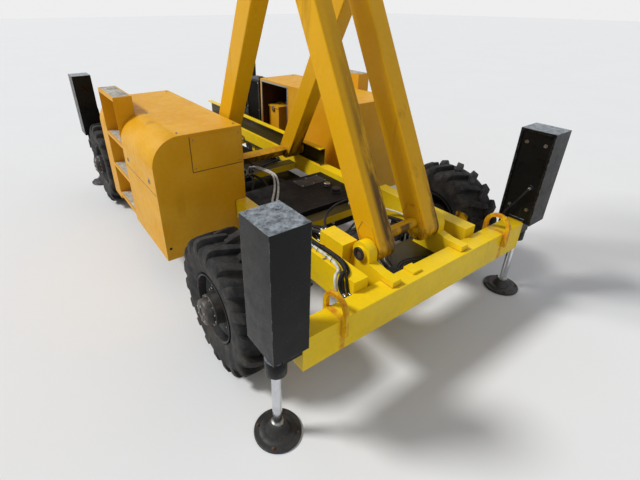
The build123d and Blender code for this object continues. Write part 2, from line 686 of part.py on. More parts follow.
def hood_skin(outer_x, far_y, step_near_y):
    """A folded sheet with one rounded edge, open underneath, with the recess for the steps."""
    inner_x = outer_x - hood_width

    def body(inset):
        low = HOOD_BOTTOM - (20 if inset else 0)
        solid = block(inner_x + inset, outer_x - inset, HOOD_NEAR_Y + inset, far_y - inset,
                      low, HOOD_TOP - inset)
        edge = solid.edges().filter_by(Axis.Y).sort_by(Axis.Z)[-2:].sort_by(Axis.X)[-1]
        return fillet(edge, HOOD_CORNER_RADIUS - inset)

    skin = body(0.0) - body(SHEET)
    # The inner wall stops above the bearers that come out from the chassis.
    skin -= block(inner_x - 5, inner_x + SHEET, HOOD_NEAR_Y + SHEET, far_y - SHEET,
                  HOOD_BOTTOM - 5, chassis_floor_z + 1)
    return skin - block(outer_x - STEP_DEPTH, outer_x + 10, step_near_y, step_near_y + STEP_LENGTH,
                        HOOD_BOTTOM - 30, HOOD_TOP + 10)


def left_hood():
    """The left hood. Its lower inner wall stands outboard, so that the guide rail passes beside it."""
    inner_x = hood_left_inner_x
    near, far = HOOD_NEAR_Y + SHEET, hood_left_far_y
    step_x = hood_step_x
    skin = hood_skin(hood_left_outer_x, far, STEP_LEFT_NEAR_Y)
    skin -= block(inner_x - 5, step_x, near, far + 5, HOOD_BOTTOM - 5, HOOD_STEP_Z)
    skin -= block(inner_x - 5, chassis_outer_x + HOOD_CLEARANCE, HOOD_NEAR_Y - 5, near + 5,
                  chassis_floor_z - HOOD_CLEARANCE, rail_bottom_z + HOOD_CLEARANCE)
    ledge = block(inner_x, step_x + SHEET, near, far - SHEET, HOOD_STEP_Z, HOOD_STEP_Z + SHEET)
    wall = block(step_x, step_x + SHEET, near, far, chassis_floor_z + 1, HOOD_STEP_Z + SHEET)
    return mirror(fused([skin, ledge, wall]), Plane.YZ)


def right_hood():
    """The right hood, with the hatch in its inner wall."""
    inner_x = hood_right_inner_x
    hatch_far = hood_right_far_y - HATCH_FROM_FAR_END
    hatch = block(inner_x - 5, inner_x + SHEET + 5, hatch_far - HATCH_LENGTH, hatch_far,
                  HATCH_LOW_Z, HATCH_HIGH_Z)
    return hood_skin(hood_right_outer_x, hood_right_far_y, STEP_RIGHT_NEAR_Y) - hatch


def access_steps(outer_x, near_y):
    """The ladder box let into a hood's outer side: two cheeks, a back and four treads."""
    inner = outer_x - STEP_DEPTH + HOOD_SEAT_GAP
    near, far = near_y + HOOD_SEAT_GAP, near_y + STEP_LENGTH - HOOD_SEAT_GAP
    pieces = [
        block(inner, outer_x, near, near + SHEET, HOOD_BOTTOM, STEP_TOP),
        block(inner, outer_x, far - SHEET, far, HOOD_BOTTOM, STEP_TOP),
        block(inner, inner + SHEET, near, far, HOOD_BOTTOM, STEP_TOP),
    ]
    for z in STEP_TREAD_Z + (STEP_TOP,):
        pieces.append(block(inner, outer_x, near, far, z - STEP_TREAD_THICK, z))
    return fused(pieces)


def engine_block():
    """The engine and its pump as one plain block on the bearers."""
    near_x = hood_right_inner_x + ENGINE_FROM_HOOD
    far_x = hood_right_outer_x - STEP_DEPTH - ENGINE_FROM_STEPS
    return block(near_x, far_x, ENGINE_Y[0], ENGINE_Y[1], chassis_floor_z, ENGINE_TOP)


def cooler():
    """A cooler on its bearer, with upright fins in a recess on the side towards the arms."""
    inner_x = cooler_inner_x
    far_y = cooler_near_y + COOLER_LENGTH
    low_z, high_z = chassis_floor_z + COOLER_FRAME, COOLER_TOP - COOLER_FRAME
    case = block(inner_x, cooler_outer_x, cooler_near_y, far_y, chassis_floor_z, COOLER_TOP)
    case -= block(inner_x - 5, inner_x + COOLER_RECESS, cooler_near_y + COOLER_FRAME, far_y - COOLER_FRAME,
                  low_z, high_z)
    pitch = (COOLER_LENGTH - 2 * COOLER_FRAME) / (COOLER_FINS + 1)
    pieces = [case]
    for i in range(COOLER_FINS):
        y = cooler_near_y + COOLER_FRAME + (i + 1) * pitch
        pieces.append(block(inner_x + COOLER_RECESS - COOLER_FIN_DEPTH, inner_x + COOLER_RECESS,
                            y - COOLER_FIN_THICK / 2, y + COOLER_FIN_THICK / 2, low_z, high_z))
    return fused(pieces)


def hatch_box():
    """The lidded box that stands on the last bearer behind the hatch."""
    near_x = hood_right_inner_x + HATCH_BOX_FROM_HOOD
    far_x = near_x + HATCH_BOX_WIDTH
    near_y = bearer_y[-1] - HATCH_BOX_LENGTH / 2
    far_y = near_y + HATCH_BOX_LENGTH
    edge = HATCH_BOX_LID_EDGE
    box = block(near_x, far_x, near_y, far_y, chassis_floor_z, HATCH_BOX_TOP)
    lid = block(near_x - edge, far_x + edge, near_y - edge, far_y + edge,
                HATCH_BOX_TOP - HATCH_BOX_LID, HATCH_BOX_TOP)
    return fused([box, lid])


# Hoses. Each route is a list of points chosen by hand, from one fitting to the other.

def hose(points, radius):
    """A tube along straight runs joined by arcs as large as the runs allow."""
    corners = [Vector(*point) for point in points]
    radii = []
    for before, here, after in zip(corners, corners[1:], corners[2:]):
        first, second = here - before, after - here
        half_turn = math.radians(first.get_angle(second)) / 2
        radii.append(0.45 * min(first.length, second.length) / math.tan(half_turn))
    path = FilletPolyline(*corners, radius=radii)
    section = Plane(path @ 0, z_dir=path % 0) * Circle(radius)
    return sweep(section, path)


def black_hoses():
    """From the valve box over the left raised rail, and from the middle of the frame to the box."""
    box_y = valve_box_y[1]
    box_face = box_y + HOSE_GAP
    beam_y = -beam_inner_y
    rail_top = rail_bottom_z + RAISED_RAIL_HEIGHT + HOSE_RADIUS + HOSE_GAP
    beside_rail = -chassis_outer_x - HOSE_RADIUS - HOSES_BESIDE_RAIL[0]
    member_top = chassis_floor_z + members[1][2] + HOSE_GAP
    middle_y = (members[1][0] + members[1][1]) / 2
    over_rail = hose([
        (-370, box_face, rail_top - 8),
        (-370, box_y + 50, rail_top - 8),
        (-400, box_y + 88, rail_top),
        (-452, box_y + 70, rail_top),
        (-474, box_y - 20, rail_top),
        (-464, box_y - 150, rail_top),
        (-470, box_y - 280, rail_top),
        (-505, beam_y + 99, rail_top),
        (beside_rail - 2, beam_y + 71, rail_top + 2),
        (beside_rail, beam_y + 57, BEAM_TOP_Z + 6),
        (beside_rail, beam_y + 41, BEAM_TOP_Z - 42),
        (beside_rail, beam_y + HOSE_GAP, BEAM_TOP_Z - 42),
    ], HOSE_RADIUS)
    from_middle = hose([
        (230, middle_y, member_top),
        (230, middle_y, member_top + 52),
        (180, middle_y - 22, 640),
        (68, middle_y - 40, 646),
        (-60, middle_y - 84, 640),
        (-160, middle_y - 170, 640),
        (-224, middle_y - 262, 644),
        (-290, middle_y - 326, 668),
        (-314, box_y + 52, 690),
        (-314, box_face, 690),
    ], HOSE_RADIUS)
    return Compound([over_rail, from_middle])


def white_hoses():
    """The second hose over the left raised rail, and one from the frame's middle onto the tank."""
    box_y = valve_box_y[1]
    box_face = box_y + HOSE_GAP
    beam_y = -beam_inner_y
    rail_top = rail_bottom_z + RAISED_RAIL_HEIGHT + HOSE_RADIUS + HOSE_GAP
    beside_rail = -chassis_outer_x - HOSE_RADIUS - HOSES_BESIDE_RAIL[1]
    member_top = chassis_floor_z + members[2][2] + HOSE_GAP
    on_tank = TANK_Z[1] + HOSE_RADIUS + HOSE_GAP
    over_rail = hose([
        (-342, box_face, rail_top - 8),
        (-342, box_y + 70, rail_top - 8),
        (-390, box_y + 120, rail_top),
        (-468, box_y + 104, rail_top),
        (-500, box_y + 10, rail_top),
        (-494, box_y - 130, rail_top),
        (-500, box_y - 260, rail_top),
        (-526, beam_y + 123, rail_top),
        (beside_rail, beam_y + 97, rail_top + 2),
        (beside_rail, beam_y + 83, BEAM_TOP_Z + 2),
        (beside_rail, beam_y + 57, BEAM_TOP_Z - 56),
        (beside_rail, beam_y + HOSE_GAP, BEAM_TOP_Z - 56),
    ], HOSE_RADIUS)
    on_to_tank = hose([
        (-30, 0, member_top),
        (-30, 0, member_top + 42),
        (-6, -70, on_tank + 8),
        (34, -190, on_tank + 4),
        (38, -300, on_tank + 2),
        (-28, -444, on_tank),
        (-120, -590, on_tank),
        (-210, -715, on_tank),
        (-248, -770, on_tank + 26),
        (-268, -800, on_tank + 26),
        (-268, -800, TANK_Z[1] + HOSE_GAP),
    ], HOSE_RADIUS)
    return Compound([over_rail, on_to_tank])


def jack_hose(side, sign):
    """The hose from a jack's back plate down to the end beam."""
    back_x = jack_cover_inner_x + JACK_BACK_INSET
    out_x = jack_cover_inner_x - 20
    tube = hose([
        (back_x - HOSE_GAP, beam_face_y - 24, 886),
        (out_x, beam_face_y - 24, 886),
        (out_x, beam_face_y - 46, 836),
        (out_x - 2, beam_face_y - 84, 760),
        (out_x - 4, beam_inner_y - 14, 690),
        (out_x - 8, beam_inner_y - 30, 630),
        (out_x - 12, beam_inner_y - 32, 576),
        (out_x - 12, beam_inner_y - HOSE_GAP, 576),
    ], JACK_HOSE_RADIUS)
    if side < 0:
        tube = mirror(tube, Plane.YZ)
    if sign < 0:
        tube = mirror(tube, Plane.XZ)
    return tube


# Jacks

def jack_housing(side, sign):
    """Cover, pressed open on its inner side, and the jack's fixed tube inside it."""
    inner = jack_cover_inner_x
    outer = OVERALL_WIDTH / 2
    y_out = OVERALL_LENGTH / 2
    y_in = y_out - JACK_COVER_DEPTH
    cover = block(inner, outer, y_in, y_out, JACK_COVER_BOTTOM, JACK_COVER_TOP)
    hollow = block(inner - 5, outer - SHEET, y_in + SHEET, y_out - SHEET,
                   JACK_COVER_BOTTOM - 5, JACK_COVER_TOP - SHEET)
    back_x = inner + JACK_BACK_INSET
    back = block(back_x, back_x + SHEET, y_in + SHEET, y_out - SHEET,
                 BEAM_TOP_Z - 8, JACK_COVER_TOP - SHEET)
    tube = rod_z(jack_x, jack_y, JACK_TUBE_BOTTOM, JACK_COVER_TOP - SHEET, JACK_TUBE_RADIUS)
    gland = rod_z(jack_x, jack_y, JACK_TUBE_BOTTOM, JACK_TUBE_BOTTOM + JACK_GLAND_HEIGHT, JACK_GLAND_RADIUS)
    bracket = block(beam_half_length, jack_x, beam_inner_y + SHEET, beam_face_y - SHEET,
                    JACK_COVER_BOTTOM + 30 - JACK_BRACKET_HEIGHT, JACK_COVER_BOTTOM + 30)
    housing = fused([cover - hollow, back, tube, gland, bracket])
    housing -= rod_z(jack_x, jack_y, JACK_TUBE_BOTTOM - 5, JACK_COVER_TOP - 3 * SHEET,
                     JACK_ROD_RADIUS + PIN_CLEARANCE)
    if side < 0:
        housing = mirror(housing, Plane.YZ)
    if sign < 0:
        housing = mirror(housing, Plane.XZ)
    return housing


def jack_foot(side, sign):
    """The chromed leg and its round ground pad."""
    x, y = side * jack_x, sign * jack_y
    low_radius, high_radius = JACK_PAD_HUB_RADII
    leg = rod_z(x, y, JACK_PAD_THICK, JACK_ROD_TOP, JACK_ROD_RADIUS)
    pad = rod_z(x, y, 0, JACK_PAD_THICK, JACK_PAD_RADIUS)
    cone = Pos(x, y, (JACK_PAD_THICK + JACK_PAD_HUB_TOP) / 2) * Cone(
        low_radius, high_radius, JACK_PAD_HUB_TOP - JACK_PAD_THICK)
    return fused([leg, pad, cone])


# Wheels and axles, drawn on the +X side with the wheel's centre on the X axis

def facet_disc(x, radius):
    """A many-sided face across the wheel at a distance along X."""
    return Plane.YZ.offset(x) * RegularPolygon(radius, TYRE_FACETS)


def tyre():
    """A broad tyre of flat facets: a carcass with two rows of deep diagonal bars."""
    sections = [(-out, radius) for out, radius in TYRE_RINGS]
    sections += [(out, radius) for out, radius in reversed(TYRE_RINGS)]
    first_x, last_x = sections[0][0], sections[-1][0]
    bead = RIM_RADIUS + BEAD_GAP
    flank = TYRE_WIDTH / 2 - 20
    sections = [(-flank, bead + 12)] + sections + [(flank, bead + 12)]
    carcass = []
    for (x0, r0), (x1, r1) in zip(sections, sections[1:]):
        if x0 != x1:
            carcass.append(loft([facet_disc(x0, r0), facet_disc(x1, r1)], ruled=True))
    body = fused(carcass)
    bars = []
    for side in (-1, 1):
        face = Plane.XZ * Polygon(*LUG_BAR_OUTLINE, align=None)
        bar = extrude(face, LUG_BAR_WIDTH / 2, both=True)
        bar = Pos(LUG_BAR_MIDDLE, 0, 0) * Rot(0, 0, LUG_BAR_ANGLE) * bar
        if side < 0:
            bar = mirror(bar, Plane.YZ)
        for i in range(LUGS_PER_SIDE):
            turn = (i + 0.25 * (1 + side)) * 360 / LUGS_PER_SIDE
            bars.append(Rot(turn, 0, 0) * bar)
    body = fused([body] + bars)
    bore = loft([facet_disc(-TYRE_WIDTH, bead / math.cos(math.pi / TYRE_FACETS)),
                 facet_disc(TYRE_WIDTH, bead / math.cos(math.pi / TYRE_FACETS))], ruled=True)
    return Pos(tyre_middle_x, 0, 0) * (body - bore)


def wheel_disc():
    """Rim, dished disc and planetary hub."""
    inner_x = tyre_outer_x - TYRE_WIDTH + RIM_INSET
    outer_x = tyre_outer_x - RIM_INSET
    disc_x = outer_x - DISC_DEPTH
    rim = rod_x(inner_x, outer_x, 0, 0, RIM_RADIUS)
    rim -= rod_x(inner_x - 5, outer_x + 5, 0, 0, RIM_RADIUS - RIM_WALL)
    disc = rod_x(disc_x, disc_x + DISC_THICK, 0, 0, RIM_RADIUS - RIM_WALL / 2)
    hub = rod_x(hub_inner_x, disc_x + 2, 0, 0, HUB_RADIUS)
    cap = rod_x(disc_x + 10, OVERALL_WIDTH / 2 + HUB_PROUD, 0, 0, HUB_CAP_RADIUS)
    return fused([rim, disc, hub, cap])


def knuckle():
    """The steered hub carrier on its upright kingpin."""
    post = rod_z(kingpin_x, 0, -KNUCKLE_HALF_HEIGHT, KNUCKLE_HALF_HEIGHT, KNUCKLE_POST_RADIUS)
    flange = rod_x(hub_inner_x - 20, hub_inner_x - PIN_CLEARANCE, 0, 0, HUB_RADIUS)
    carrier = rod_x(kingpin_x, hub_inner_x - 10, 0, 0, AXLE_RADIUS + 4)
    arm = block(kingpin_x - 20, kingpin_x + 20, 0, STEER_ARM, -20, 6)
    body = fused([post, flange, carrier, arm])
    return body - rod_z(kingpin_x, 0, -100, 100, KINGPIN_RADIUS + PIN_CLEARANCE)


def axle_middle(half_length):
    """An axle tube with its gear bowl and the seats under the chassis rails."""
    top = chassis_floor_z - wheel_z
    half_bowl = AXLE_BOWL_WIDTH / 2
    neck_radius = AXLE_RADIUS + 8
    side_bowl = Pos(half_bowl * 1.5, 0, 0) * Rot(0, 90, 0) * Cone(AXLE_BOWL_RADIUS, neck_radius, half_bowl)
    seat = block(CHASSIS_RAIL_X + AXLE_SEAT_INSET, chassis_outer_x - AXLE_SEAT_INSET,
                 -AXLE_SEAT_HALF, AXLE_SEAT_HALF, 0, top)
    tube = rod_x(-half_length, half_length, 0, 0, AXLE_RADIUS)
    bowl = rod_x(-half_bowl, half_bowl, 0, 0, AXLE_BOWL_RADIUS)
    return [tube, bowl] + both_sides(side_bowl) + both_sides(seat)


def near_axle():
    """The steering axle: housing, gear bowl, forks and its seats under the chassis rails."""
    yoke_x = kingpin_x - 110
    fork = fused([
        block(yoke_x, yoke_x + 44, -45, 45, -fork_inner - FORK_PLATE, fork_inner + FORK_PLATE),
        block(yoke_x + 40, kingpin_x + 36, -45, 45, fork_inner, fork_inner + FORK_PLATE),
        block(yoke_x + 40, kingpin_x + 36, -45, 45, -fork_inner - FORK_PLATE, -fork_inner),
        rod_z(kingpin_x, 0, -fork_inner - FORK_PLATE + 2, fork_inner + FORK_PLATE - 2, KINGPIN_RADIUS),
    ])
    return fused(axle_middle(yoke_x + 15) + both_sides(fork))


def far_axle():
    """The rigid driving axle."""
    end = hub_inner_x - PIN_CLEARANCE
    return fused(axle_middle(end) + both_sides(rod_x(end - 22, end, 0, 0, HUB_RADIUS)))


# Platform

def platform_frame():
    """Deck plate on its edge beams and cross members."""
    half = DECK_WIDTH / 2
    low, high = deck_under_z, deck_plate_z
    pieces = [block(-half, half, deck_near_y, deck_far_y, high, high + DECK_PLATE)]
    pieces += both_sides(block(half - DECK_EDGE_BEAM, half, deck_near_y, deck_far_y, low, high))
    half_member = DECK_MEMBER_WIDTH / 2
    spacing = (DECK_LENGTH - DECK_MEMBER_WIDTH) / (DECK_MEMBERS - 1)
    for i in range(DECK_MEMBERS):
        y = deck_near_y + half_member + i * spacing
        pieces.append(block(-half + 10, half - 10, y - half_member, y + half_member, low, high))
    outer_lug = PIVOT_LUG_X[1] + 10
    pieces.append(block(-outer_lug, outer_lug, foot_pin_y - PIVOT_LUG_RADIUS, foot_pin_y + PIVOT_LUG_RADIUS,
                        low, high))
    return fused(pieces)


def platform_channels():
    """The spines under the deck, the lugs of its fixed pivot and the channels for the rollers."""
    web_x = channel_lip_x - RAIL_DEPTH
    channel_top = top_pin_z + CHANNEL_HEIGHT / 2
    spine = block(web_x, channel_lip_x, deck_near_y, deck_far_y, channel_top, deck_under_z)
    channel = c_channel(channel_lip_x, CHANNEL_NEAR_Y, deck_far_y, top_pin_z, CHANNEL_HEIGHT, -1)
    tie_plate = block(0, PIVOT_LUG_X[1], foot_pin_y - PIVOT_LUG_RADIUS, foot_pin_y + PIVOT_LUG_RADIUS,
                      deck_under_z - 12, deck_under_z)
    lug = fused([
        block(PIVOT_LUG_X[0], PIVOT_LUG_X[1], foot_pin_y - PIVOT_LUG_RADIUS, foot_pin_y + PIVOT_LUG_RADIUS,
              top_pin_z, deck_under_z),
        rod_x(PIVOT_LUG_X[0], PIVOT_LUG_X[1], foot_pin_y, top_pin_z, PIVOT_LUG_RADIUS),
    ])
    lug -= rod_x(PIVOT_LUG_X[0] - 10, PIVOT_LUG_X[1] + 10, foot_pin_y, top_pin_z,
                 PIN_RADIUS + PIN_CLEARANCE)
    return fused(both_sides(spine) + both_sides(channel) + both_sides(tie_plate) + both_sides(lug))


def railing(points, height_from):
    """Guard rail over a plan route: posts, top rail, knee rail and toe board."""
    tube = RAILING_TUBE / 2
    board = TOE_BOARD_THICK / 2
    pieces = []
    for (x0, y0), (x1, y1) in zip(points, points[1:]):
        left, right = min(x0, x1), max(x0, x1)
        near, far = min(y0, y1), max(y0, y1)
        for z in (RAILING_HEIGHT - tube, RAILING_HEIGHT / 2):
            pieces.append(block(left - tube, right + tube, near - tube, far + tube,
                                height_from + z - tube, height_from + z + tube))
        pieces.append(block(left - board, right + board, near - board, far + board,
                            height_from, height_from + TOE_BOARD_HEIGHT))
        bays = max(1, round(math.dist((x0, y0), (x1, y1)) / RAILING_BAY))
        for i in range(bays + 1):
            x = x0 + (x1 - x0) * i / bays
            y = y0 + (y1 - y0) * i / bays
            pieces.append(block(x - tube, x + tube, y - tube, y + tube,
                                height_from, height_from + RAILING_HEIGHT))
    return fused(pieces)


def gate():
    """The entrance gate: three bars between a latch stile and a round hinge stile."""
    bar = GATE_BAR / 2
    post = GATE_WIDTH / 2 - RAILING_TUBE / 2
    hinge_x = post - bar - HOOD_SEAT_GAP
    latch_x = -post + GATE_LATCH_GAP
    low, high = deck_top_z + GATE_LOW, deck_top_z + RAILING_HEIGHT
    pieces = [
        block(latch_x, latch_x + GATE_BAR, railing_near_y - bar, railing_near_y + bar, low, high),
        rod_z(hinge_x, railing_near_y, low, high, bar),
    ]
    for z in (low + bar, deck_top_z + RAILING_HEIGHT / 2, high - bar):
        pieces.append(block(latch_x, hinge_x, railing_near_y - bar, railing_near_y + bar, z - bar, z + bar))
    return fused(pieces)


def roll_out_deck():
    """The extension's plate on its two runners."""
    half = railing_x - EXTENSION_INSET_X
    low = deck_top_z + EXTENSION_GAP
    start, end = deck_far_y - EXTENSION_LENGTH, deck_far_y - EXTENSION_INSET_Y
    plate = block(-half, half, start, end, low, low + DECK_PLATE)
    runner = block(half - 20 - EXTENSION_RUNNER, half - 20, start, end, deck_top_z + HOOD_SEAT_GAP, low)
    return fused([plate] + both_sides(runner))


def roll_out_railing():
    """The extension's own guard rail, open towards the main deck."""
    tube = RAILING_TUBE / 2
    line = railing_x - EXTENSION_INSET_X - tube
    start = deck_far_y - EXTENSION_LENGTH + tube
    end = deck_far_y - EXTENSION_INSET_Y - tube
    route = [(-line, start), (-line, end), (line, end), (line, start)]
    return railing(route, deck_top_z + EXTENSION_GAP + DECK_PLATE)


def platform_controls():
    """The control box on the guard rail, with one lever."""
    width, length, height = CONTROL_BOX_SIZE
    low = deck_top_z + RAILING_HEIGHT - height
    middle_y = railing_near_y + CONTROL_BOX_FROM_GATE + length / 2 - 25
    box = block(railing_face_x - width, railing_face_x, middle_y - length / 2, middle_y + length / 2,
                low, low + height)
    lever = rod_z(railing_face_x - width / 2, middle_y, low + height - 5, low + height + LEVER_HEIGHT,
                  LEVER_RADIUS)
    return fused([box, lever])


def harness_anchors():
    """Two drilled plates under the knee rails."""
    half = ANCHOR_SIZE / 2
    y = railing_near_y + ANCHOR_FROM_GATE - 25
    top = deck_top_z + RAILING_HEIGHT / 2
    bore_z = top - ANCHOR_BORE_DROP
    plates = []
    for side in (-1, 1):
        inner = side * (railing_face_x - ANCHOR_PLATE)
        plate = block(inner, side * railing_face_x, y - half, y + half, top - ANCHOR_SIZE, top)
        hole = rod_x(inner - 20, inner + 20, y, bore_z, ANCHOR_BORE_RADIUS)
        plates.append(plate - hole)
    return Compound(plates)


def platform():
    """Everything that rises with the deck."""
    gate_half = GATE_WIDTH / 2
    far_end = deck_far_y - RAILING_INSET
    save(platform_frame(), "platform_frame")
    save(platform_channels(), "platform_channels")
    for side, hand in ((-1, "left"), (1, "right")):
        rail_x = side * railing_x
        route = [(side * gate_half, railing_near_y), (rail_x, railing_near_y), (rail_x, far_end)]
        save(railing(route, deck_top_z), f"railing_{hand}")
    save(gate(), "platform_gate")
    save(roll_out_deck(), "roll_out_deck")
    save(roll_out_railing(), "roll_out_railing")
    save(platform_controls(), "platform_controls")
    save(harness_anchors(), "harness_anchors")


def undercarriage():
    """Frame, rails, hoods, steps, engine and tank."""
    save(chassis_frame(), "chassis_frame")
    save(hood_bearers(), "hood_bearers")
    save(cross_beam(-1), "near_beam")
    save(cross_beam(1), "far_beam")
    save(beam_tab(), "beam_tab")
    rail = c_channel(rail_lip_x, RAIL_NEAR_Y, rail_far_y, FOOT_PIN_Z, RAIL_HEIGHT, 1)
    save(Compound(both_sides(rail)), "guide_rails")
    save(left_hood(), "hood_left")
    save(right_hood(), "hood_right")
    left_steps = mirror(access_steps(hood_left_outer_x, STEP_LEFT_NEAR_Y), Plane.YZ)
    save(Compound([left_steps, access_steps(hood_right_outer_x, STEP_RIGHT_NEAR_Y)]), "access_steps")
    save(engine_block(), "engine_block")
    save(cooler(), "cooler")
    save(hatch_box(), "hatch_box")
    save(black_hoses(), "hoses_black")
    save(white_hoses(), "hoses_white")
    tank_x = CHASSIS_RAIL_X - HOOD_SEAT_GAP
    save(block(-tank_x, tank_x, tank_near_y, TANK_FAR_Y, TANK_Z[0], TANK_Z[1]), "hydraulic_tank")


def running_gear():
    """Jacks, wheels and axles."""
    for sign, end in ((-1, "near"), (1, "far")):
        for side, hand in ((-1, "left"), (1, "right")):
            save(jack_housing(side, sign), f"jack_housing_{end}_{hand}")
            save(jack_foot(side, sign), f"jack_foot_{end}_{hand}")
    save(Compound([jack_hose(side, sign) for side in (-1, 1) for sign in (-1, 1)]), "jack_hoses")
    pieces = {"tyre": tyre(), "wheel": wheel_disc(), "knuckle": knuckle()}
    for side, hand in ((-1, "left"), (1, "right")):
        turned = {name: mirror(shape, Plane.YZ) if side < 0 else shape for name, shape in pieces.items()}
        for sign, end in ((-1, "near"), (1, "far")):
            place = Pos(0, sign * wheel_y, wheel_z)
            save(place * turned["tyre"], f"tyre_{end}_{hand}")
            save(place * turned["wheel"], f"wheel_{end}_{hand}")
        save(Pos(0, -wheel_y, wheel_z) * turned["knuckle"], f"knuckle_{hand}")
    save(Pos(0, -wheel_y, wheel_z) * near_axle(), "near_axle")
    save(Pos(0, wheel_y, wheel_z) * far_axle(), "far_axle")


def main():
    os.makedirs("parts", exist_ok=True)
    undercarriage()
    running_gear()
    scissor()
    lift_cylinder(0, "lower")
    lift_cylinder(2, "upper")
    platform()


main()
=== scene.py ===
import math

import bmesh
import bpy
from mathutils import Matrix, Vector


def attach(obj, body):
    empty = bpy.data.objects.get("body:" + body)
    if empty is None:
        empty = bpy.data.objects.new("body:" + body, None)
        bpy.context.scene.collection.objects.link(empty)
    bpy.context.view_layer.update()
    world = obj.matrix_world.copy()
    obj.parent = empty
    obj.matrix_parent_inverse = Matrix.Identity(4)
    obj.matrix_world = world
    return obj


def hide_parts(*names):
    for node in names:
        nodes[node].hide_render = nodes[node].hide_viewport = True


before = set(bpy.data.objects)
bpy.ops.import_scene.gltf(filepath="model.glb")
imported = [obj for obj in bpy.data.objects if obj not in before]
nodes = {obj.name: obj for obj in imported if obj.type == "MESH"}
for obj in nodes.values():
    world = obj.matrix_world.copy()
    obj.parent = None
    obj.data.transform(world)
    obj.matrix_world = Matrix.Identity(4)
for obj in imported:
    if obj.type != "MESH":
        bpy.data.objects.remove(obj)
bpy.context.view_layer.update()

MM = 0.001
BEAM_TOP = 634
BEAM_FACE = 2058
BEAM_BACK = 1943
WHEEL_Y = 1400
WHEEL_Z = 428
TYRE_X = 965
JACK_X = 1045
JACK_Y = 1989
REST_ANGLE = math.radians(62.2)
ARM = 3700
FOOT_Y = -1780
FOOT_Z = 725
LEVEL_RISE = ARM * math.sin(REST_ANGLE)
SLIDER_Y = FOOT_Y + ARM * math.cos(REST_ANGLE)
DECK_TOP = FOOT_Z + 4 * LEVEL_RISE + 213
SIDES = (-1, 1)
ENDS = (("near", -1), ("far", 1))
HANDS = (("left", -1), ("right", 1))
UP, DOWN = (0, 0, 1), (0, 0, -1)
NEAR, FAR = (0, -1, 0), (0, 1, 0)
LEFT, RIGHT = (-1, 0, 0), (1, 0, 0)


# Materials, measured in metres like the texture coordinates

def srgb(red, green, blue):
    """A linear colour from 0 to 255 display values."""
    def linear(value):
        value /= 255
        return value / 12.92 if value <= 0.04045 else ((value + 0.055) / 1.055) ** 2.4
    return (linear(red), linear(green), linear(blue), 1.0)


def shade(colour, factor):
    """The colour made darker or lighter by a factor."""
    return tuple(factor * c for c in colour[:3]) + (1.0,)


def feed(tree, value, socket):
    """Sets a socket to a plain value, or links another node's output to it."""
    if isinstance(value, (int, float, tuple)):
        socket.default_value = value
    else:
        tree.links.new(value, socket)


def add_node(tree, kind, inputs=None, **values):
    """A node with its own settings and its inputs, by name or number."""
    node = tree.nodes.new("ShaderNode" + kind)
    for key, value in values.items():
        setattr(node, key, value)
    for key, value in (inputs or {}).items():
        feed(tree, value, node.inputs[key])
    return node


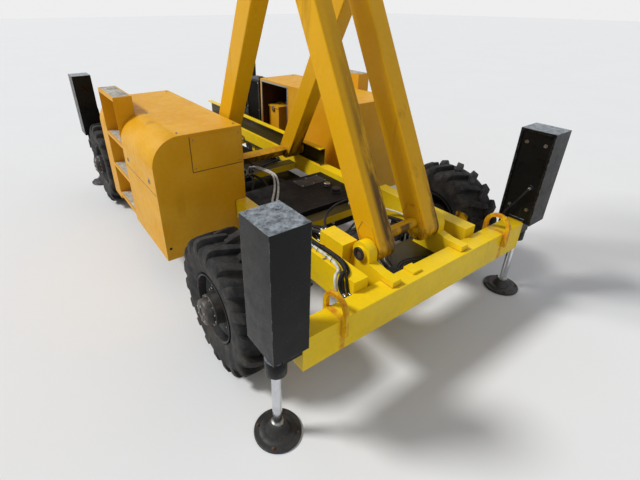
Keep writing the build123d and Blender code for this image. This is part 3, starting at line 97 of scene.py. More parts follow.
class Nodes:
    """A short way to lay out one material's nodes."""

    def __init__(self, name):
        self.material = bpy.data.materials.new(name)
        self.material.use_nodes = True
        self.tree = self.material.node_tree
        self.shader = self.tree.nodes["Principled BSDF"]
        self.place = self.new("TexCoord").outputs["Object"]

    def new(self, kind, inputs=None, **values):
        """A node in this material."""
        return add_node(self.tree, kind, inputs, **values)

    def set(self, **sockets):
        """Feeds the surface's own sockets."""
        for name, value in sockets.items():
            feed(self.tree, value, self.shader.inputs[name.replace("_", " ")])

    def noise(self, scale, detail=4.0, rough=0.6, stretch=(1, 1, 1)):
        """Noise over the object's own coordinates, pulled long along an axis by stretch."""
        mapping = self.new("Mapping", {"Scale": stretch, "Vector": self.place})
        where = mapping.outputs["Vector"]
        sockets = {"Scale": scale, "Detail": detail, "Roughness": rough, "Vector": where}
        return self.new("TexNoise", sockets).outputs["Fac"]

    def ramp(self, source, low, high, start=0.0, end=1.0):
        """Source mapped from low..high to start..end, held at both ends."""
        sockets = {"From Min": low, "From Max": high, "To Min": start, "To Max": end, "Value": source}
        return self.new("MapRange", sockets).outputs["Result"]

    def patches(self, scale, detail, rough, low, high, start=0.0, end=1.0, stretch=(1, 1, 1)):
        """Noise cut to patches: start below low, end above high."""
        return self.ramp(self.noise(scale, detail, rough, stretch), low, high, start, end)

    def math(self, operation, first, second=0.0, clamp=True):
        """The result of one sum, held between 0 and 1 unless clamp is off."""
        node = self.new("Math", {0: first, 1: second}, operation=operation, use_clamp=clamp)
        return node.outputs["Value"]

    def times(self, *factors):
        """The product of two or three masks."""
        product = factors[0]
        for factor in factors[1:]:
            product = self.math("MULTIPLY", product, factor)
        return product

    def mix(self, factor, first, second):
        """The first colour where factor is 0, the second where it is 1."""
        node = self.new("Mix", data_type="RGBA")
        for name, value in (("Factor", factor), ("A", first), ("B", second)):
            feed(self.tree, value, next(s for s in node.inputs if s.name == name and s.enabled))
        return next(s for s in node.outputs if s.enabled)

    def edges(self, radius, low=0.04, high=0.3):
        """A mask that is 1 on worn outer and inner edges, from the bevelled normal."""
        bevel = self.new("Bevel", {"Radius": radius}, samples=4)
        normals = {0: bevel.outputs["Normal"], 1: self.new("NewGeometry").outputs["Normal"]}
        dot = self.new("VectorMath", normals, operation="DOT_PRODUCT")
        return self.ramp(self.math("SUBTRACT", 1.0, dot.outputs["Value"]), low, high)

    def facing(self, axis, low, high):
        """A mask that is 1 on faces that look along an axis."""
        split = self.new("SeparateXYZ", {0: self.new("NewGeometry").outputs["Normal"]})
        return self.ramp(split.outputs[axis], low, high)

    def at(self, axis):
        """The place along an axis of the machine."""
        return self.new("SeparateXYZ", {0: self.place}).outputs[axis]

    def height(self, low, high):
        """A mask that falls from 1 at low to 0 at high above the ground."""
        return self.ramp(self.at("Z"), low, high, 1.0, 0.0)

    def diamonds(self, pitch):
        """Raised diamonds of a tread plate on the faces that look up."""
        turns = 2 * math.pi / pitch
        waves = []
        for operation in ("ADD", "SUBTRACT"):
            diagonal = self.math(operation, self.at("X"), self.at("Y"), False)
            waves.append(self.math("SINE", self.math("MULTIPLY", diagonal, turns, False), clamp=False))
        raised = self.ramp(self.math("MULTIPLY", *waves, False), 0.40, 0.70)
        return self.times(raised, self.facing("Z", 0.5, 0.95))

    def bump(self, source, strength, distance=0.001):
        """Relief in the surface, from a mask or noise."""
        node = self.new("Bump", {"Strength": strength, "Distance": distance, "Height": source})
        self.set(Normal=node.outputs["Normal"])

    def finish(self, colour, rough, metallic=0.0):
        """Sets the surface and hands back the material."""
        self.set(Base_Color=colour, Roughness=rough, Metallic=metallic)
        return self.material


def paint(name, colour, faded, wear, gloss, mottle, streaks, chips, dust, stain_and_shade=None, plate_pitch=None):
    """Machine paint: mottled fading, run-down streaks, chipped edges and road dust low down."""
    n = Nodes(name)
    tone = n.mix(n.patches(1.7, 6.0, 0.65, 0.42, 0.72, 0.0, mottle), colour, faded)
    tone = n.mix(n.patches(38.0, 4.0, 0.7, 0.35, 0.75, 0.0, 0.16), tone, shade(colour, 0.55))
    run = n.patches(9.0, 5.0, 0.62, 0.60, 0.74, stretch=(1, 1, 0.07))
    tone = n.mix(n.times(run, n.patches(1.1, 2.0, 0.6, 0.45, 0.6, 0.0, streaks)), tone, srgb(74, 50, 24))
    rubbed = n.times(n.edges(0.006), n.patches(16.0, 5.0, 0.75, 0.50, 0.60, 0.0, chips))
    bare = n.math("MAXIMUM", rubbed, n.patches(60.0, 3.0, 0.8, 0.735, 0.77, 0.0, chips))
    tone = n.mix(bare, tone, wear)
    grime = n.times(n.height(0.35, 1.1), n.patches(5.0, 5.0, 0.7, 0.35, 0.75, 0.0, dust))
    tone = n.mix(grime, tone, srgb(122, 104, 74))
    # An extra pass that paints real stains or painted shade, depending on the function given.
    if stain_and_shade:
        tone = stain_and_shade(n, tone)
    if plate_pitch:
        diamonds = n.diamonds(plate_pitch)
        tone = n.mix(n.times(diamonds, 0.35), tone, wear)
        n.bump(diamonds, 0.8, 0.002)
    else:
        n.bump(n.math("SUBTRACT", n.noise(420.0, 2.0), n.times(bare, 0.7)), 0.12)
    n.set(Specular_IOR_Level=0.18, Coat_Weight=0.04, Coat_Roughness=0.15)
    smear = n.patches(14.0, 5.0, 0.7, 0.3, 0.8, 0.75 * gloss, 1.6 * gloss)
    return n.finish(tone, n.math("ADD", smear, n.times(bare, 0.35)))


def foot_stain(n, tone):
    """Grease that ran down the near faces of the lowest arms and sits round their feet."""
    x = n.at("X")
    left_arm = n.times(n.ramp(x, -0.222, -0.192), n.ramp(x, 0.10, 0.05))
    right_arm = n.times(n.ramp(x, 0.205, 0.235), n.height(0.90, 1.15))
    strip = n.times(n.math("MAXIMUM", left_arm, right_arm), n.facing("Y", -0.4, -0.7))
    streaks = n.patches(11.0, 7.0, 0.74, 0.36, 0.52, stretch=(1, 0.3, 0.12))
    run = n.times(strip, streaks, n.height(1.00, 2.10))
    foot = n.times(n.height(0.68, 0.80), n.patches(14.0, 6.0, 0.75, 0.42, 0.56))
    return n.mix(n.times(n.math("MAXIMUM", run, foot), 0.9), tone, srgb(46, 26, 13))


def frame_shade_and_wear(n, tone):
    """Painted shade on the frame's low upward faces, and worn paint where the lifting rings meet the beams.
    """
    # Painted shade: upward faces below about 0.6 m are darkened to near black.
    painted_shade_low = n.times(n.facing("Z", 0.6, 0.95), n.height(0.575, 0.600))
    tone = n.mix(n.times(painted_shade_low, 0.97), tone, srgb(20, 17, 14))
    out = n.math("ABSOLUTE", n.at("X"))
    by_ring = n.times(n.ramp(out, 0.676, 0.688), n.ramp(out, 0.724, 0.712))
    worn = n.times(by_ring, n.patches(17.0, 6.0, 0.75, 0.38, 0.60, 0.15, 0.9))
    return n.mix(worn, tone, srgb(196, 118, 22))


def track_shade(n, tone):
    """Painted shade inside the channels where the arms' feet slide."""
    out = n.math("ABSOLUTE", n.at("X"))
    inside = n.times(n.ramp(out, 0.441, 0.446), n.ramp(out, 0.4915, 0.4905))
    level = n.times(n.height(0.7985, 0.7995), n.math("SUBTRACT", 1.0, n.height(0.6510, 0.6520)))
    # Painted shade: the channels' inner faces are darkened to near black.
    return n.mix(n.times(inside, level, 0.95), tone, srgb(24, 20, 16))


def rubber(name, colour, dusty, amount):
    """Rubber and dull plastic: dry dust in the low places and rubbed edges."""
    n = Nodes(name)
    tone = n.mix(n.patches(24.0, 6.0, 0.7, 0.38, 0.72), colour, shade(colour, 2.1))
    tone = n.mix(n.times(n.patches(6.5, 6.0, 0.72, 0.44, 0.70), amount), tone, dusty)
    scuff = n.times(n.edges(0.004), n.patches(30.0, 3.0, 0.6, 0.4, 0.6, 0.0, 0.5))
    tone = n.mix(scuff, tone, srgb(108, 104, 98))
    n.bump(n.noise(260.0, 6.0, 0.75), 0.35, 0.0008)
    n.set(Specular_IOR_Level=0.22)
    return n.finish(tone, n.patches(20.0, 4.0, 0.6, 0.3, 0.7, 0.62, 0.88))


def metal(name, colour, dark, rough, scale, metallic=1.0, rust=0.0, specular=0.5):
    """Bare, plated or thinly painted metal with fine variation, and rust where there is any."""
    n = Nodes(name)
    tone = n.mix(n.patches(scale, 5.0, 0.7, 0.35, 0.75), colour, dark)
    shiny = metallic
    if rust:
        spread = n.patches(11.0, 7.0, 0.75, 0.62 - 0.2 * rust, 0.72)
        tone = n.mix(spread, tone, srgb(112, 62, 30))
        shiny = n.ramp(spread, 0.0, 1.0, metallic, 0.0)
    n.bump(n.noise(9 * scale, 3.0, 0.7), 0.12, 0.0005)
    n.set(Specular_IOR_Level=specular)
    return n.finish(tone, n.patches(0.6 * scale, 5.0, 0.6, 0.3, 0.75, 0.7 * rough, 1.5 * rough), shiny)


def polished(name):
    """Hard chrome: clean, with faint turning lines round the rod."""
    n = Nodes(name)
    tone = n.mix(n.patches(14.0, 4.0, 0.6, 0.4, 0.8, 0.0, 0.5), srgb(214, 216, 220), srgb(150, 150, 152))
    n.bump(n.noise(160.0, 2.0, 0.5, (1, 1, 8)), 0.05, 0.0002)
    return n.finish(tone, n.patches(30.0, 3.0, 0.6, 0.3, 0.8, 0.08, 0.26), 1.0)


def gloss_black(name, top):
    """Gloss black paint whose upward faces carry a painted reflection of the sky in mottled blue grey."""
    n = Nodes(name)
    base = n.mix(n.patches(3.0, 6.0, 0.7, 0.4, 0.75, 0.0, 0.6), srgb(13, 14, 15), srgb(27, 29, 31))
    # Painted reflection: upward faces take a lighter, mottled sky colour.
    sky_reflection = n.mix(n.patches(26.0, 7.0, 0.8, 0.38, 0.60), srgb(58, 64, 70), top)
    tone = n.mix(n.facing("Z", 0.6, 0.9), base, sky_reflection)
    scratch = n.patches(22.0, 3.0, 0.5, 0.70, 0.76, 0.0, 0.25, (1, 1, 0.05))
    tone = n.mix(scratch, tone, srgb(92, 92, 90))
    rubbed = n.times(n.edges(0.005), n.patches(34.0, 4.0, 0.6, 0.42, 0.6, 0.0, 0.8))
    tone = n.mix(rubbed, tone, srgb(150, 150, 146))
    grime = n.times(n.height(0.55, 1.0), n.patches(8.0, 5.0, 0.7, 0.4, 0.8, 0.0, 0.2))
    tone = n.mix(grime, tone, srgb(76, 68, 56))
    n.bump(n.noise(300.0, 3.0), 0.12, 0.0006)
    n.set(Specular_IOR_Level=0.14, Coat_Weight=0.05, Coat_Roughness=0.08)
    return n.finish(tone, n.patches(18.0, 5.0, 0.7, 0.3, 0.8, 0.20, 0.5))


BRIGHT_PAINT = (srgb(240, 202, 12), srgb(246, 214, 36), srgb(86, 60, 34), 0.34, 0.5, 0.45, 0.7, 0.25)
MATERIALS = {
    # fresh, faded and worn-through colour, then gloss, mottle, streaks, chips and dust
    # The chassis paint carries painted shade on its low upward faces.
    "chassis": paint("chassis_paint", *BRIGHT_PAINT, stain_and_shade=frame_shade_and_wear),
    # The track paint carries painted shade inside its channels.
    "track": paint("track_paint", *BRIGHT_PAINT, stain_and_shade=track_shade),
    "arms": paint("arm_paint", srgb(218, 162, 8), srgb(228, 180, 30), srgb(70, 46, 26),
                  0.34, 0.4, 0.55, 0.7, 0.15, stain_and_shade=foot_stain),
    "hood": paint("hood_paint", srgb(212, 152, 10), srgb(230, 182, 60), srgb(96, 62, 34),
                  0.46, 0.6, 0.35, 0.5, 0.15),
    "platform": paint("platform_paint", srgb(232, 178, 28), srgb(242, 196, 70), srgb(84, 60, 36),
                      0.38, 0.5, 0.3, 0.5, 0.0),
    "deck": paint("deck_paint", srgb(214, 166, 30), srgb(206, 170, 84), srgb(84, 70, 52),
                  0.5, 0.8, 0.3, 0.6, 0.0, plate_pitch=0.060),
    "engine": paint("engine_paint", srgb(176, 116, 52), srgb(150, 104, 58), srgb(50, 38, 28),
                    0.5, 0.5, 0.6, 0.5, 0.5),
    "weld": paint("weld_paint", srgb(206, 152, 26), srgb(196, 140, 40), srgb(96, 64, 36),
                  0.5, 0.5, 0.5, 0.6, 0.2),
    # The second colour of each gloss black is a painted sky reflection on its upward faces.
    "jack": gloss_black("jack_paint", srgb(146, 156, 164)),
    "cylinder": gloss_black("cylinder_paint", srgb(52, 54, 56)),
    "chrome": polished("hard_chrome"),
    # light and dark colour, roughness, grain, how metallic, rust and specular
    "steel": metal("dark_cast_steel", srgb(44, 43, 42), srgb(24, 23, 22), 0.55, 26.0, 0.2, 0.25),
    "tank": metal("black_tank", srgb(20, 20, 21), srgb(11, 11, 11), 0.5, 18.0, 0.0, 0.0, 0.12),
    "zinc": metal("zinc_plate", srgb(168, 168, 164), srgb(108, 106, 102), 0.34, 60.0, 1.0, 0.2),
    "aluminium": metal("aluminium_frame", srgb(186, 188, 190), srgb(140, 142, 144), 0.38, 70.0),
    "hub": metal("hub_steel", srgb(82, 79, 75), srgb(40, 38, 36), 0.42, 30.0, 0.6, 0.3),
    "rim": metal("rim_paint", srgb(30, 30, 30), srgb(17, 17, 17), 0.48, 18.0, 0.1, 0.12),
    "grille": metal("grille_black", srgb(34, 34, 35), srgb(20, 20, 20), 0.5, 30.0, 0.3),
    "rust": metal("rusty_steel", srgb(96, 74, 56), srgb(58, 40, 28), 0.7, 22.0, 0.3, 0.7),
    "seam": metal("dark_gap", srgb(34, 26, 16), srgb(20, 16, 12), 0.8, 30.0, 0.0),
    # clean and dusty colour, how much dust
    "tyre": rubber("tyre_rubber", srgb(27, 27, 28), srgb(92, 87, 78), 0.5),
    "hose": rubber("hose_rubber", srgb(26, 26, 27), srgb(70, 66, 60), 0.25),
    "hose_white": rubber("hose_sleeve", srgb(176, 176, 170), srgb(120, 112, 98), 0.4),
    "plastic": rubber("control_plastic", srgb(52, 53, 56), srgb(84, 82, 78), 0.2),
    "tread": rubber("antislip_white", srgb(150, 148, 140), srgb(96, 84, 66), 0.6),
    "red": rubber("button_red", srgb(170, 24, 18), srgb(120, 40, 30), 0.2),
    "lining": rubber("sound_lining", srgb(54, 31, 16), srgb(84, 52, 28), 0.4),
}


# Building meshes

def circle(count, radius, start=0.0):
    """Points round a circle, the first of them start spacings on from the first axis."""
    angles = [2 * math.pi * (k + start) / count for k in range(count)]
    return [(radius * math.cos(a), radius * math.sin(a)) for a in angles]


def smooth_line(points, steps, closed=False):
    """Points on a smooth curve through the given ones."""
    if len(points) < 3:
        return points
    line = []
    count = len(points)
    for i in range(count if closed else count - 1):
        p1, p2 = points[i], points[(i + 1) % count]
        p0 = points[i - 1] if (closed or i > 0) else p1
        p3 = points[(i + 2) % count] if (closed or i + 2 < count) else p2
        for k in range(steps):
            t = k / steps
            line.append(0.5 * ((2 * p1) + (p2 - p0) * t + (2 * p0 - 5 * p1 + 4 * p2 - p3) * t * t
                               + (3 * p1 - p0 - 3 * p2 + p3) * t ** 3))
    if not closed:
        line.append(points[-1])
    return line


def merge(target, other):
    """Moves one bmesh into another."""
    scratch = bpy.data.meshes.new("scratch")
    other.to_mesh(scratch)
    other.free()
    target.from_mesh(scratch)
    bpy.data.meshes.remove(scratch)


def fix_normals(mesh):
    """Turns all faces outward."""
    bmesh.ops.recalc_face_normals(mesh, faces=list(mesh.faces))


class Build:
    """Collects simple forms of several materials into one piece."""

    def __init__(self):
        self.mesh = bmesh.new()
        self.materials = []

    def take(self, other, material):
        """Adds another bmesh, all of one material."""
        if material not in self.materials:
            self.materials.append(material)
        for face in other.faces:
            face.material_index = self.materials.index(material)
            face.smooth = True
        merge(self.mesh, other)

    def box(self, low, high, material, edge=2, place=None):
        """A box between two opposite corners with rounded edges."""
        other = bmesh.new()
        bmesh.ops.create_cube(other, size=1.0)
        low, high = MM * Vector(low), MM * Vector(high)
        size = high - low
        middle = (low + high) / 2
        for vert in other.verts:
            vert.co = Vector([vert.co[i] * abs(size[i]) + middle[i] for i in range(3)])
        if edge:
            reach = min(MM * edge, 0.3 * min(abs(s) for s in size))
            bmesh.ops.bevel(other, geom=list(other.edges), offset=reach, segments=2, profile=0.6,
                            affect="EDGES")
        if place is not None:
            other.transform(place)
        self.take(other, material)

    def revolve(self, profile, at, axis, material, count=32):
        """A turned form: profile is a list of (distance along the axis, radius)."""
        other = bmesh.new()
        turn = Vector(UP).rotation_difference(Vector(axis)).to_matrix().to_4x4()
        put = Matrix.Scale(MM, 4) @ Matrix.Translation(Vector(at)) @ turn
        rings = []
        for along, radius in profile:
            spots = circle(count, radius) if radius else [(0, 0)]
            rings.append([other.verts.new(put @ Vector((x, y, along))) for x, y in spots])
        for lower, upper in zip(rings, rings[1:]):
            for i in range(count):
                j = (i + 1) % count
                if len(lower) == 1:
                    other.faces.new((lower[0], upper[j], upper[i]))
                elif len(upper) == 1:
                    other.faces.new((lower[i], lower[j], upper[0]))
                else:
                    other.faces.new((lower[i], lower[j], upper[j], upper[i]))
        if profile[0] == profile[-1]:
            bmesh.ops.remove_doubles(other, verts=list(other.verts), dist=1e-6)
        else:
            for ring in (rings[0], rings[-1]):
                if len(ring) > 1:
                    other.faces.new(ring)
        fix_normals(other)
        self.take(other, material)

    def turned(self, profile, at, axis, material, count=32):
        """A solid turned form, with flat ends unless the profile itself ends on the middle line."""
        profile = [(profile[0][0], 0), *profile]
        if profile[-1][1]:
            profile.append((profile[-1][0], 0))
        self.revolve(profile, at, axis, material, count)

    def ring(self, profile, at, axis, material, count=40):
        """A turned form round a hole."""
        self.revolve([*profile, profile[0]], at, axis, material, count)

    def cylinder(self, start, end, radius, material, edge=1.5, count=24):
        """A round bar with softened ends."""
        start, end = Vector(start), Vector(end)
        length = (end - start).length
        edge = min(edge, 0.3 * length, 0.3 * radius)
        profile = [(0, radius - edge), (edge, radius), (length - edge, radius), (length, radius - edge)]
        self.turned(profile, start, end - start, material, count)

    def bolt(self, at, axis, size, material="zinc", washer=True):
        """A hexagon head on a washer. size is the width across the head."""
        axis = Vector(axis).normalized()
        radius, head, thick = size / math.sqrt(3), 0.6 * size, 0
        if washer:
            thick = 0.12 * size
            self.turned([(-thick, 0.72 * size), (thick, 0.72 * size)], at, axis, material, 20)
        profile = [(thick, radius), (thick + 0.82 * head, radius), (thick + head, 0.86 * radius)]
        self.turned(profile, at, axis, material, 6)

    def screw(self, at, axis, size):
        """A hexagon head without a washer."""
        self.bolt(at, axis, size, washer=False)

    def pipe(self, points, radius, material, count=10, steps=6, closed=False):
        """A round tube that follows a smooth line through the points."""
        line = smooth_line([MM * Vector(p) for p in points], steps, closed)
        other = bmesh.new()
        total = len(line)
        side = None
        rings = []
        for i, point in enumerate(line):
            before = line[i - 1] if (closed or i > 0) else line[i]
            after = line[(i + 1) % total] if (closed or i < total - 1) else line[i]
            ahead = (after - before).normalized()
            if side is None:
                side = ahead.orthogonal().normalized()
            side = (side - ahead * side.dot(ahead)).normalized()
            up = ahead.cross(side)
            spots = circle(count, MM * radius)
            rings.append([other.verts.new(point + x * side + y * up) for x, y in spots])
        pairs = list(zip(rings, rings[1:])) + ([(rings[-1], rings[0])] if closed else [])
        for first, second in pairs:
            for k in range(count):
                m = (k + 1) % count
                other.faces.new((first[k], first[m], second[m], second[k]))
        if not closed:
            other.faces.new(list(reversed(rings[0])))
            other.faces.new(rings[-1])
        fix_normals(other)
        self.take(other, material)

    def plate(self, outline, start, end, axis, material, edge=1):
        """A flat plate: the outline's two coordinates are the axes other than axis, in order."""
        other = bmesh.new()

        def corner(point, along):
            values = list(point)
            values.insert(axis, along)
            return other.verts.new(MM * Vector(values))

        low, high = ([corner(p, along) for p in outline] for along in sorted((start, end)))
        other.faces.new(low)
        other.faces.new(high)
        for i in range(len(low)):
            j = (i + 1) % len(low)
            other.faces.new((low[i], low[j], high[j], high[i]))
        fix_normals(other)
        if edge:
            bmesh.ops.bevel(other, geom=list(other.edges), offset=MM * edge, segments=1, affect="EDGES")
        self.take(other, material)

    def done(self, name, body, place=None):
        """Makes the object, shades it and sets it on its body."""
        if place is not None:
            self.mesh.transform(place)
        mesh = bpy.data.meshes.new(name)
        self.mesh.to_mesh(mesh)
        self.mesh.free()
        for material in self.materials:
            mesh.materials.append(MATERIALS[material])
        mesh.set_sharp_from_angle(angle=math.radians(35))
        piece = bpy.data.objects.new(name, mesh)
        bpy.context.scene.collection.objects.link(piece)
        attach(piece, body)
        return piece


# Finishes of the carried-over nodes

NODE_FINISH = (  # how a node's name starts, its material, edge softening
    (("chassis_frame", "near_beam", "far_beam", "beam_tab"), "chassis", 3),
    (("guide_rails",), "track", 1.5),
    (("hood_bearers",), "chassis", 1.5),
    (("hood_left", "hood_right", "access_steps"), "hood", 1.2),
    (("engine_block",), "engine", 6),
    (("cooler",), "grille", 1),
    (("hatch_box",), "hood", 3),
    (("hoses_black", "jack_hoses"), "hose", 0),
    (("hoses_white",), "hose_white", 0),
    (("hydraulic_tank",), "tank", 8),
    (("near_axle", "far_axle", "knuckle_"), "steel", 4),
    (("jack_housing",), "jack", 2.2),
    (("jack_foot",), "chrome", 1.5),
    (("inner_arms", "outer_arms"), "arms", 1.5),
    (("lower_cylinder_barrel", "upper_cylinder_barrel"), "cylinder", 2),
    (("lower_cylinder_rod", "upper_cylinder_rod"), "chrome", 0),
    (("tyre_",), "tyre", 0),
    (("wheel_",), "rim", 0),
    (("platform_controls",), "plastic", 4),
    (("platform_frame", "roll_out_deck"), "deck", 2),
    (("platform_", "railing_", "roll_out"), "platform", 2),
    (("harness_anchors",), "zinc", 1),
)


def finish_nodes():
    """Gives each carried-over node its material and its softened edges."""
    for name, obj in nodes.items():
        material, edge = next((m, e) for starts, m, e in NODE_FINISH if name.startswith(starts))
        obj.data.materials.clear()
        obj.data.materials.append(MATERIALS[material])
        if edge:
            joined = obj.modifiers.new("weld", "WELD")
            joined.merge_threshold = 0.00005
            bevel = obj.modifiers.new("soft_edges", "BEVEL")
            bevel.width = MM * edge
            bevel.segments = 2
            bevel.limit_method = "ANGLE"
            bevel.angle_limit = math.radians(32)
            bevel.harden_normals = True


# Wheels

TYRE_PROFILE = (  # distance out from the tyre's middle, radius
    (122, 212.5), (131, 222), (134, 234), (138, 256), (144, 280), (147.5, 305), (148.5, 330), (145.5, 350),
    (137, 368), (118, 379), (90, 384), (45, 386.5), (0, 387),
)
TYRE_SEAT = ((110, 210.6), (-110, 210.6))
BAR_STATIONS = (  # distance out from the middle, radius of the top, half width, turn in degrees
    (-22, 420.5, 16.5, -1.6), (12, 422.5, 20.5, 0.0), (50, 422.5, 23.5, 2.4), (88, 421, 25, 4.9),
    (122, 416, 26, 7.2), (139.5, 402, 26.2, 8.2), (148, 378, 26.2, 8.7), (149.4, 348, 25, 9.0),
    (149.4, 326, 20, 9.1),
)
BARS = 18
BAR_HEIGHT = 46
BAR_FLARE = 6
BAR_EDGE = 3.2
TREAD_STATIONS = 6  # the stations before these stand on the tread, the others on the side wall
TREAD_FLOOR = 332
WALL_FLOOR = 300
WALL_OUT = 128
TREAD_ROUND = 400  # a bar's top follows the tread's round below this radius


def tread_bar(bars, half, base):
    """One bar, from past the middle of the tread over the shoulder and down the side wall."""
    previous = None
    for index, (out, top, width, turn) in enumerate(BAR_STATIONS):
        angle = base + math.radians(turn)
        floor = max(TREAD_FLOOR, top - BAR_HEIGHT) if index < TREAD_STATIONS else WALL_FLOOR
        foot_out = out if index < TREAD_STATIONS - 1 else WALL_OUT
        foot_width = width + BAR_FLARE
        ring = []
        for radius, wide, x in ((floor, foot_width, foot_out), (top, width, out),
                                (top, -width, out), (floor, -foot_width, foot_out)):
            around = angle + math.atan2(wide, radius)
            reach = math.hypot(radius, wide) if radius < TREAD_ROUND else radius
            spot = Vector((half * x, reach * math.sin(around), reach * math.cos(around)))
            ring.append(bars.verts.new(MM * spot))
        if previous:
            for i in range(3):
                bars.faces.new((previous[i], previous[i + 1], ring[i + 1], ring[i]))
            bars.faces.new((previous[3], previous[0], ring[0], ring[3]))
        else:
            bars.faces.new(ring)
        previous = ring
    bars.faces.new(previous)


def tyre_mesh(side):
    """A broad tyre with deep diagonal bars that wrap over its shoulders, centred on the X axis."""
    mesh = bmesh.new()
    count = 144
    profile = [(-x, r) for x, r in TYRE_PROFILE] + list(reversed(TYRE_PROFILE))[1:] + list(TYRE_SEAT)
    rings = [[mesh.verts.new(MM * Vector((x, y, z))) for z, y in circle(count, r)] for x, r in profile]
    for a, b in zip(rings, rings[1:] + rings[:1]):
        for i in range(count):
            j = (i + 1) % count
            mesh.faces.new((a[i], a[j], b[j], b[i]))
    bars = bmesh.new()
    for half in SIDES:
        for k in range(BARS):
            tread_bar(bars, half, 2 * math.pi * (k + 0.25 * (1 + half)) / BARS)
    fix_normals(bars)
    sharp = [e for e in bars.edges if e.is_manifold and e.calc_face_angle(0) > math.radians(28)]
    bmesh.ops.bevel(bars, geom=sharp, offset=MM * BAR_EDGE, segments=2, profile=0.6, affect="EDGES")
    merge(mesh, bars)
    fix_normals(mesh)
    for face in mesh.faces:
        face.smooth = True
    if side < 0:
        for vert in mesh.verts:
            vert.co.x = -vert.co.x
        bmesh.ops.reverse_faces(mesh, faces=list(mesh.faces))
    result = bpy.data.meshes.new("tyre")
    mesh.to_mesh(result)
    mesh.free()
    result.set_sharp_from_angle(angle=math.radians(40))
    result.materials.append(MATERIALS["tyre"])
    return result


RIM = ((-136, 196), (-136, 209.5), (-128, 209.7), (-118, 208.5), (-70, 198.5), (70, 198.5), (118, 208.5),
       (128, 209.7), (134.5, 209.5), (135.2, 205), (130, 199), (110, 196.5), (70, 189), (-70, 189),
       (-110, 196))
DISC = ((50, 150), (60, 176), (78, 189.5), (88, 189.5), (71, 172), (62, 152), (66, 128))
HUB = ((60, 109), (74, 109), (78, 105), (78, 98.5), (120, 94.5), (150, 93.5), (154, 90), (155.5, 81.5),
       (184, 79), (193.5, 74), (198.5, 64), (199, 29), (194.5, 27))
INNER_HUB = ((-114, 98), (55, 98))


def wheel(side, at, name, body):
    """Rim with its lips, dished disc, wheel nuts and the planetary hub with its bolted cover."""
    b = Build()
    axis = (side, 0, 0)
    b.ring(RIM, at, axis, "rim", 96)
    b.turned(DISC, at, axis, "rim", 72)
    b.turned(HUB, at, axis, "hub", 72)
    b.turned(INNER_HUB, at, axis, "hub", 48)
    at = Vector(at)
    for z, y in circle(10, 127):
        nut = at + Vector((side * 66, y, z))
        b.bolt(nut, axis, 24)
        stud, tip = (nut + Vector((side * out, 0, 0)) for out in (16, 29))
        b.cylinder(stud, tip, 6.5, "zinc", count=12)
    for z, y in circle(12, 86.8, 0.5):
        b.screw(at + Vector((side * 153.5, y, z)), axis, 9.5)
    for z, y in circle(6, 50):
        b.screw(at + Vector((side * 198.5, y, z)), axis, 10)
    valve = at + Vector((side * 86, 0, 178))
    b.pipe([valve + Vector((side * x, 0, z)) for x, z in ((0, 0), (20, -2), (38, -12))], 3.8, "hose", 8, 4)
    return b.done(name, body)


def wheels():
    """Treaded tyres and rims on the four wheel bodies."""
    for hand, side in HANDS:
        mesh = tyre_mesh(side)
        for end, sign in ENDS:
            body = f"wheel_{end}_{hand}"
            at = (side * TYRE_X, sign * WHEEL_Y, WHEEL_Z)
            tyre = bpy.data.objects.new(f"tread_{end}_{hand}", mesh)
            bpy.context.scene.collection.objects.link(tyre)
            tyre.location = MM * Vector(at)
            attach(tyre, body)
            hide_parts(f"tyre_{end}_{hand}")
            rim = wheel(side, at, f"rim_{end}_{hand}", body)
            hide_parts(f"wheel_{end}_{hand}")


# Jacks

JACK_PAD = ((0, 120), (3, 124.5), (12, 124.7), (16, 120), (16.8, 98), (22, 92), (26, 80), (26, 64),
            (36, 55), (60, 45), (72, 39.5), (77.5, 33))
JACK_LEG = ((70, 24.8), (800, 24.8))
DUST_COLLAR = ((77, 25), (77, 34), (86, 33), (89, 25))


def jack_feet():
    """Chromed legs on round pads with a turned ring and a dust collar."""
    for end, sign in ENDS:
        for hand, side in HANDS:
            b = Build()
            x, y = side * JACK_X, sign * JACK_Y
            b.turned(JACK_PAD, (x, y, 0), UP, "steel", 64)
            b.turned(JACK_LEG, (x, y, 0), UP, "chrome", 48)
            b.ring(DUST_COLLAR, (x, y, 0), UP, "zinc")
            for dx, dy in circle(4, 108, 0.5):
                b.bolt((x + dx, y + dy, 16), UP, 13, "rust")
            piece = b.done(f"jack_leg_{end}_{hand}", f"jack_{end}_{hand}")
            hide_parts(f"jack_foot_{end}_{hand}")


# Small parts

def weld(b, points, radius=3.5, closed=False, material="weld"):
    """A weld bead along straight runs between the points."""
    pairs = list(zip(points, points[1:])) + ([(points[-1], points[0])] if closed else [])
    for start, end in pairs:
        b.cylinder(start, end, radius, material, 1, 6)


def square_weld(b, x, along, offset, half):
    """The bead round a square tube where it meets a face across X."""
    corners = ((-1, -1), (1, -1), (1, 1), (-1, 1))
    weld(b, [(x, along + half * i, offset + half * j) for i, j in corners], closed=True)


def ring_weld(b, x, y, z, radius, bead=3.5):
    """The bead round a bar along X where it meets a face."""
    profile = [(0, radius - 1), (0, radius + bead), (0.5 * bead, radius + 0.7 * bead), (bead, radius - 1)]
    b.ring(profile, (x, y, z), RIGHT if x > 0 else LEFT, "weld", 32)


def fitting(b, at, axis, hose_radius):
    """A crimped hose end with its hexagon nut and the adaptor screwed into the face."""
    def scaled(*profile):
        return [(hose_radius * along, hose_radius * radius) for along, radius in profile]
    b.turned(scaled((0, 1.15), (0.6, 1.15)), at, axis, "zinc", 20)
    b.turned(scaled((0.6, 1.45), (1.9, 1.45), (2.1, 1.3)), at, axis, "zinc", 6)
    b.revolve(scaled((2.1, 1.02), (2.1, 1.25), (2.7, 1.25), (2.8, 1.15), (3.1, 1.25), (3.2, 1.15),
                     (3.5, 1.25), (3.9, 1.25), (4.1, 1.02)), at, axis, "zinc", 24)


